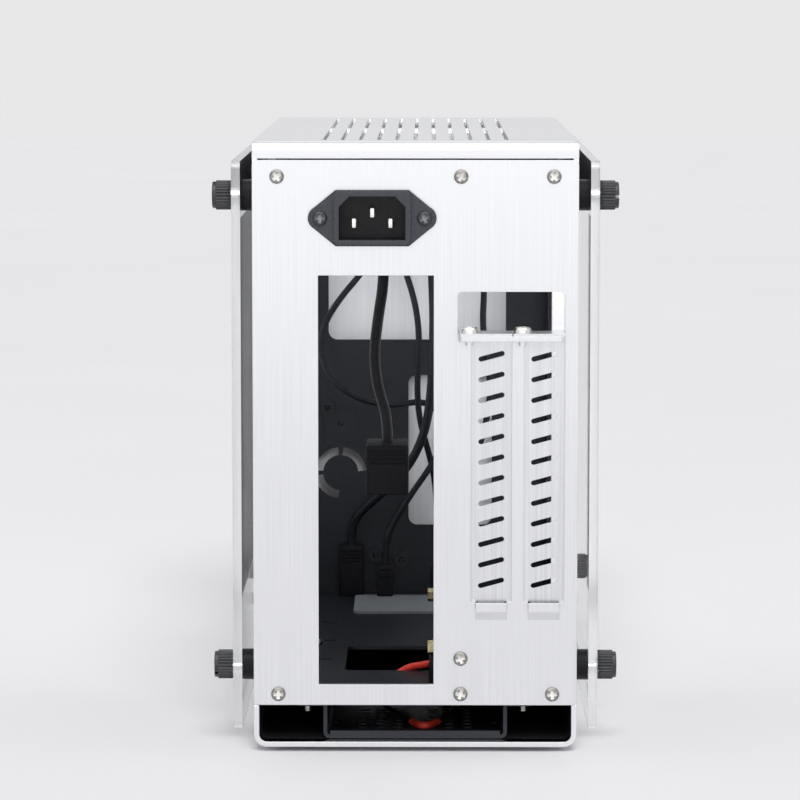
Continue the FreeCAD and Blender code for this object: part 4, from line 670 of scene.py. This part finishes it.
def pick_end(side):
    """Select only the faces that look up (side 1) or down (side -1)."""
    bpy.ops.mesh.select_mode(type="FACE")
    bpy.ops.mesh.select_all(action="DESELECT")
    work = bmesh.from_edit_mesh(bpy.context.object.data)
    for face in work.faces:
        face.select_set(face.normal.z * side > FACING)
    bmesh.update_edit_mesh(bpy.context.object.data)


def add_cylinder(name, radius, low, high, sides):
    """A cylinder primitive along Z between two heights, left selected and active."""
    bpy.ops.object.select_all(action="DESELECT")
    bpy.ops.mesh.primitive_cylinder_add(
        vertices=sides, radius=radius, depth=high - low, location=(0, 0, (low + high) / 2)
    )
    bpy.ops.object.transform_apply(location=True, rotation=True, scale=True)
    thing = bpy.context.object
    thing.name = name
    return thing


def add_box(name, low, high):
    """A box primitive between two corners, left selected and active."""
    middle = [(a + b) / 2 for a, b in zip(low, high)]
    bpy.ops.object.select_all(action="DESELECT")
    bpy.ops.mesh.primitive_cube_add(size=1.0, location=middle)
    bpy.context.object.scale = [b - a for a, b in zip(low, high)]
    bpy.ops.object.transform_apply(location=True, rotation=True, scale=True)
    bpy.context.object.name = name
    return bpy.context.object


def add_round_box(name, low, high, radius, segments):
    """A box with all its edges rounded."""
    thing = add_box(name, low, high)
    start_edit()
    bpy.ops.mesh.select_all(action="SELECT")
    bpy.ops.mesh.bevel(offset=radius, segments=segments, affect="EDGES")
    end_edit()
    return thing


def make_active(thing):
    """Select one object alone and make it the active one."""
    bpy.ops.object.select_all(action="DESELECT")
    thing.select_set(True)
    bpy.context.view_layer.objects.active = thing


def join_parts(parts, smooth=0):
    """Join parts into the first of them, smoothed below an angle in degrees if one is given."""
    make_active(parts[0])
    for part in parts:
        part.select_set(True)
    bpy.ops.object.join()
    if smooth:
        bpy.ops.object.shade_smooth_by_angle(angle=math.radians(smooth))
    return bpy.context.object


def apply_modifier(thing, kind, **settings):
    """Add a modifier with the given settings and apply it at once."""
    modifier = thing.modifiers.new(kind.lower(), kind)
    for key, value in settings.items():
        setattr(modifier, key, value)
    make_active(thing)
    bpy.ops.object.modifier_apply(modifier=modifier.name)


def cut(thing, cutter):
    """Take the cutter's volume out of a piece and throw the cutter away."""
    settings = dict(operation="DIFFERENCE", solver="EXACT", material_mode="TRANSFER")
    apply_modifier(thing, "BOOLEAN", object=cutter, **settings)
    bpy.data.objects.remove(cutter)


def solid_boxes(node):
    """Low and high corners of each separate solid in a CAD node."""
    source = nodes[node]
    work = bmesh.new()
    work.from_mesh(source.data)
    bmesh.ops.remove_doubles(work, verts=work.verts, dist=1e-6)
    left = set(work.verts)
    boxes = []
    while left:
        reached, edge = set(), [left.pop()]
        while edge:
            vert = edge.pop()
            reached.add(vert)
            near = {line.other_vert(vert) for line in vert.link_edges} & left
            left -= near
            edge.extend(near)
        spots = [source.matrix_world @ vert.co for vert in reached]
        boxes.append([Vector([pick(spot[i] for spot in spots) for i in range(3)]) for pick in (min, max)])
    work.free()
    return sorted(boxes, key=lambda box: tuple(round(value, 5) for value in box[0]))


print("modelling tools ready")

# %% [markdown]
# ## Cross-recess screws
#
# A pan head is a short cylinder with a generous round on its top edge. Its shank grows from the
# underside by an inset and an extrusion, so the screw stays one closed skin. The cross is two
# tapered bars cut out with a boolean. The screw is modelled once at the origin, pointing up, and
# every copy goes where the CAD has one: the boxes of the CAD solids give place and length.

# %% Pan screws
# The cross recess of the steel screws is toned near white and half matt: a painted glint.
recess_painted_glint = surface(
    "bright_recess_painted_glint", (0.84, 0.83, 0.81), (0.92, 0.91, 0.89), (0.35, 0.45),
    (900.0, 900.0, 900.0), 0.00001, metallic=0.25,
)
# The plated heads are toned dark, far below plated steel: a painted dark reflection.
head_steel_painted_dark = surface(
    "plated_screw_head_painted_dark", (0.20, 0.20, 0.19), (0.40, 0.39, 0.37), (0.20, 0.30),
    (900.0, 900.0, 900.0), 0.00001, metallic=1.0,
)
# The recess of the black inlet screws is toned grey: a painted glint.
dark_recess_painted_glint = surface(
    "dark_recess_painted_glint", (0.20, 0.21, 0.22), (0.34, 0.35, 0.37), (0.20, 0.30),
    (900.0, 900.0, 900.0), 0.00001,
)
HEAD_ROUND, HEAD_SIDES, HEAD_SMOOTH = 0.62, 40, 35
CROSS_REACH, CROSS_THICK, CROSS_DEPTH = 0.84, 0.27, 0.60
CROSS_TAPER = (0.55, 0.70, 1.0)


def model_screw(name, head_radius, head_height, shank_radius, shank_length, skin, recess_glint_skin):
    """A pan head with a cross recess on a plain shank, its seat at the origin, pointing up."""
    screw = add_cylinder(name, head_radius, 0.0, head_height, HEAD_SIDES)
    start_edit()
    pick_end(1)
    bpy.ops.mesh.bevel(offset=head_height * HEAD_ROUND, segments=6, affect="EDGES")
    pick_end(-1)
    bpy.ops.mesh.inset(thickness=head_radius - shank_radius)
    bpy.ops.mesh.extrude_region_move(TRANSFORM_OT_translate={"value": (0, 0, -shank_length)})
    end_edit()
    screw.data.materials.append(skin)
    reach, thick, depth = head_radius * CROSS_REACH, head_radius * CROSS_THICK, head_height * CROSS_DEPTH
    low, high = (-reach, -thick, head_height - depth), (reach, thick, head_height + depth)
    for turn in (0, 90):
        bar = add_box("cross_bar", low, high)
        start_edit()
        pick_end(-1)
        bpy.ops.transform.resize(value=CROSS_TAPER, center_override=(0, 0, 0))
        bpy.ops.mesh.select_all(action="SELECT")
        bpy.ops.transform.rotate(value=math.radians(turn), orient_axis="Z", center_override=(0, 0, 0))
        end_edit()
        bar.data.materials.append(recess_glint_skin)
        cut(screw, bar)
    make_active(screw)
    bpy.ops.object.shade_smooth_by_angle(angle=math.radians(HEAD_SMOOTH))
    return screw


def set_screws(node, facing, pattern):
    """One piece for all screws of a CAD node, each copy turned and moved to its solid."""
    copies = []
    for number, (low, high) in enumerate(solid_boxes(node)):
        middle = (low + high) / 2
        way = facing
        if facing == "out":
            way = "+X" if middle.x > 0 else "-X"
        axis = "XYZ".index(way[1])
        seat = middle.copy()
        seat[axis] = high[axis] - pattern["head"] if way[0] == "+" else low[axis] + pattern["head"]
        copy = pattern["screw"].copy()
        copy.data = pattern["screw"].data.copy()
        spin = Matrix.Rotation(math.radians(pattern["spin"] * number), 4, "Z")
        copy.data.transform(Matrix.Translation(seat) @ AXIS_TURN[way] @ spin)
        bpy.context.scene.collection.objects.link(copy)
        copies.append(copy)
    piece = join_parts(copies)
    piece.name = f"{node}_cross"
    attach(piece, CASE)
    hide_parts(node)
    print(piece.name, len(copies), "screws")


def solid_length(node, axis):
    """Length of a node's first solid along an axis."""
    low, high = solid_boxes(node)[0]
    return (high - low)[axis]


PAN = dict(head_radius=0.0028, head_height=0.0018, shank_radius=0.0015)
BIG_PAN = dict(PAN, head_radius=0.0034, head_height=0.0022)
PLATED = (head_steel_painted_dark, recess_painted_glint, "screw_steel")
SHINY = (bright_steel, recess_painted_glint, "screw_steel")
BLACK = (black_anodised, dark_recess_painted_glint, "black_anodised")
SCREW_NODES = [
    ("rear_panel_screws", "-Y", PAN, PLATED, 37),
    ("front_panel_screws", "+Y", PAN, PLATED, 52),
    ("lid_screws", "out", PAN, PLATED, 41),
    ("floor_screws", "out", PAN, PLATED, 29),
    ("frame_screws", "out", PAN, PLATED, 63),
    ("drive_tray_screws", "+Z", PAN, PLATED, 33),
    ("inlet_screws", "-Y", PAN, BLACK, 25),
    ("slot_cover_screws", "+Z", BIG_PAN, SHINY, 58),
]
for node, facing, size, (skin, recess_glint_skin, slot), spin in SCREW_NODES:
    axis = 0 if facing == "out" else "XYZ".index(facing[1])
    shank = solid_length(node, axis) - size["head_height"]
    screw = model_screw("pan_screw", **size, shank_length=shank, skin=skin, recess_glint_skin=recess_glint_skin)
    set_screws(node, facing, {"screw": screw, "head": size["head_height"], "spin": spin})
    bpy.data.objects.remove(screw)

# %% [markdown]
# ## Knurled thumbscrews
#
# A straight knurl is a ring of small teeth along the axis. Starting from a cylinder with four
# points to a tooth, three points of each four are pulled towards the axis. A plain collar with a
# driver slot closes the outer end, and a shank runs through the clear panel into its standoff.

# %% Thumbscrews, each on its own moving body
KNOB_RADIUS, KNOB_LENGTH, COLLAR, TEETH = 0.00575, 0.0078, 0.0014, 30
BOLT_RADIUS, BOLT_LENGTH = 0.0030, 0.0080
TOOTH_POINTS, TOOTH_PULL, TOOTH_BEVEL = 4, 0.92, 0.00018
COLLAR_STEP, COLLAR_OVERLAP, END_ROUND = 0.0006, 0.0004, 0.0005
SLOT_REACH, SLOT_HALF_WIDTH, SLOT_DEPTH, SLOT_OVER = 0.0065, 0.00065, 0.0016, 0.001
FIRST_SPIN, SPIN_STEP = 17, 73


def model_thumbscrew():
    """A thumbscrew with its seat at the origin, its head pointing up."""
    knob = add_cylinder("knob", KNOB_RADIUS, 0.0, KNOB_LENGTH - COLLAR, TEETH * TOOTH_POINTS)
    start_edit()
    bpy.ops.mesh.select_mode(type="VERT")
    work = bmesh.from_edit_mesh(knob.data)
    step = 2 * math.pi / (TEETH * TOOTH_POINTS)
    for vert in work.verts:
        place = round(math.atan2(vert.co.y, vert.co.x) / step)
        vert.select_set(place % TOOTH_POINTS != 0)
    work.select_flush_mode()
    bmesh.update_edit_mesh(knob.data)
    bpy.ops.transform.resize(value=(TOOTH_PULL, TOOTH_PULL, 1.0), center_override=(0, 0, 0))
    end_edit()
    ridges = dict(limit_method="ANGLE", angle_limit=math.radians(50))
    apply_modifier(knob, "BEVEL", width=TOOTH_BEVEL, segments=2, **ridges)
    collar_low = KNOB_LENGTH - COLLAR - COLLAR_OVERLAP
    collar = add_cylinder("collar", KNOB_RADIUS - COLLAR_STEP, collar_low, KNOB_LENGTH, 64)
    start_edit()
    pick_end(1)
    bpy.ops.mesh.bevel(offset=END_ROUND, segments=4, affect="EDGES")
    end_edit()
    slot_low = (-SLOT_REACH, -SLOT_HALF_WIDTH, KNOB_LENGTH - SLOT_DEPTH)
    slot_high = (SLOT_REACH, SLOT_HALF_WIDTH, KNOB_LENGTH + SLOT_OVER)
    slot = add_box("slot", slot_low, slot_high)
    for part in (knob, collar, slot):
        part.data.materials.append(black_anodised)
    cut(collar, slot)
    shank = add_cylinder("shank", BOLT_RADIUS, -BOLT_LENGTH, 0.0002, 40)
    start_edit()
    pick_end(-1)
    bpy.ops.mesh.bevel(offset=END_ROUND, segments=3, affect="EDGES")
    end_edit()
    shank.data.materials.append(bright_steel)
    return join_parts((knob, collar, shank), smooth=32)


pattern = model_thumbscrew()
thumbscrew_nodes = [name for name in nodes if name.startswith("thumbscrew_")]
for number, node in enumerate(thumbscrew_nodes):
    low, high = solid_boxes(node)[0]
    seat = (low + high) / 2
    way = "+X" if seat.x > 0 else "-X"
    seat.x = high.x - KNOB_LENGTH if way == "+X" else low.x + KNOB_LENGTH
    piece = pattern.copy()
    piece.data = pattern.data.copy()
    spin = Matrix.Rotation(math.radians(FIRST_SPIN + SPIN_STEP * number), 4, "Z")
    piece.data.transform(Matrix.Translation(seat) @ AXIS_TURN[way] @ spin)
    piece.name = f"{node}_knurled"
    bpy.context.scene.collection.objects.link(piece)
    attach(piece, node)
    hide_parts(node)
bpy.data.objects.remove(pattern)
print(len(thumbscrew_nodes), "thumbscrews of", TEETH, "teeth")

# %% [markdown]
# ## Inlet blades
#
# The three contacts of the inlet are flat blades with a rounded nose. A box between the corners
# of each CAD blade is bevelled all round, so its end no longer shows as one flat white patch.

# %% Blades with rounded noses
BLADE_ROUND = 0.0007
blades = []
for low, high in solid_boxes("inlet_blades"):
    blade = add_round_box("blade", low, high, BLADE_ROUND, 4)
    blade.data.materials.append(contact_metal)
    blades.append(blade)
contacts = join_parts(blades, smooth=40)
contacts.name = "inlet_blades_rounded"
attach(contacts, CASE)
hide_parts("inlet_blades")
print(len(blades), "blades")

# %% [markdown]
# ## Plugs on the leads
#
# A plug is a moulded block with soft edges and a few finger grooves near the end where its lead
# comes in. Each starts from the box of its CAD solid, is bevelled all round, and takes its grooves
# from thin cutter boxes, a new one for each groove, each set one step further along.

# %% Plugs with finger grooves
GROOVES, GROOVE_STEP, GROOVE_WIDTH, GROOVE_DEPTH = 4, 0.0016, 0.0007, 0.0005
PLUG_ROUND, END_MARGIN, SIDE_MARGIN, GROOVE_OVER = 0.0006, 0.0020, 0.0012, 0.001


def model_plug(low, high, face):
    """A bevelled block with grooves across one face: -Y for hanging plugs, +Z for lying ones."""
    plug = add_round_box("plug", low, high, PLUG_ROUND, 3)
    plug.data.materials.append(dull_plastic)
    for number in range(GROOVES):
        start, end = Vector(low), Vector(high)
        start.x, end.x = low.x + SIDE_MARGIN, high.x - SIDE_MARGIN
        if face == "-Y":
            start.y, end.y = low.y - GROOVE_OVER, low.y + GROOVE_DEPTH
            end.z = high.z - END_MARGIN - number * GROOVE_STEP
            start.z = end.z - GROOVE_WIDTH
        else:
            start.z, end.z = high.z - GROOVE_DEPTH, high.z + GROOVE_OVER
            start.y = low.y + END_MARGIN + number * GROOVE_STEP
            end.y = start.y + GROOVE_WIDTH
        groove = add_box("groove", start, end)
        groove.data.materials.append(dull_plastic)
        cut(plug, groove)
    return plug


for lead_node, node in LEAD_PLUGS.items():
    face = "+Z" if lead_node == "data_lead" else "-Y"
    plugs = [model_plug(low, high, face) for low, high in solid_boxes(node)]
    piece = join_parts(plugs, smooth=40)
    piece.name = f"{node}_grooved"
    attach(piece, CASE)
    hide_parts(node)
    print(piece.name, len(plugs), "blocks")

# %% [markdown]
# ## The length of each lead
#
# Each lead's line length is worked out once more and rounded; the number is not kept.

for node, lead in leads.items():
    round(line_length(lead), 4)
print(len(leads), "cords declared")
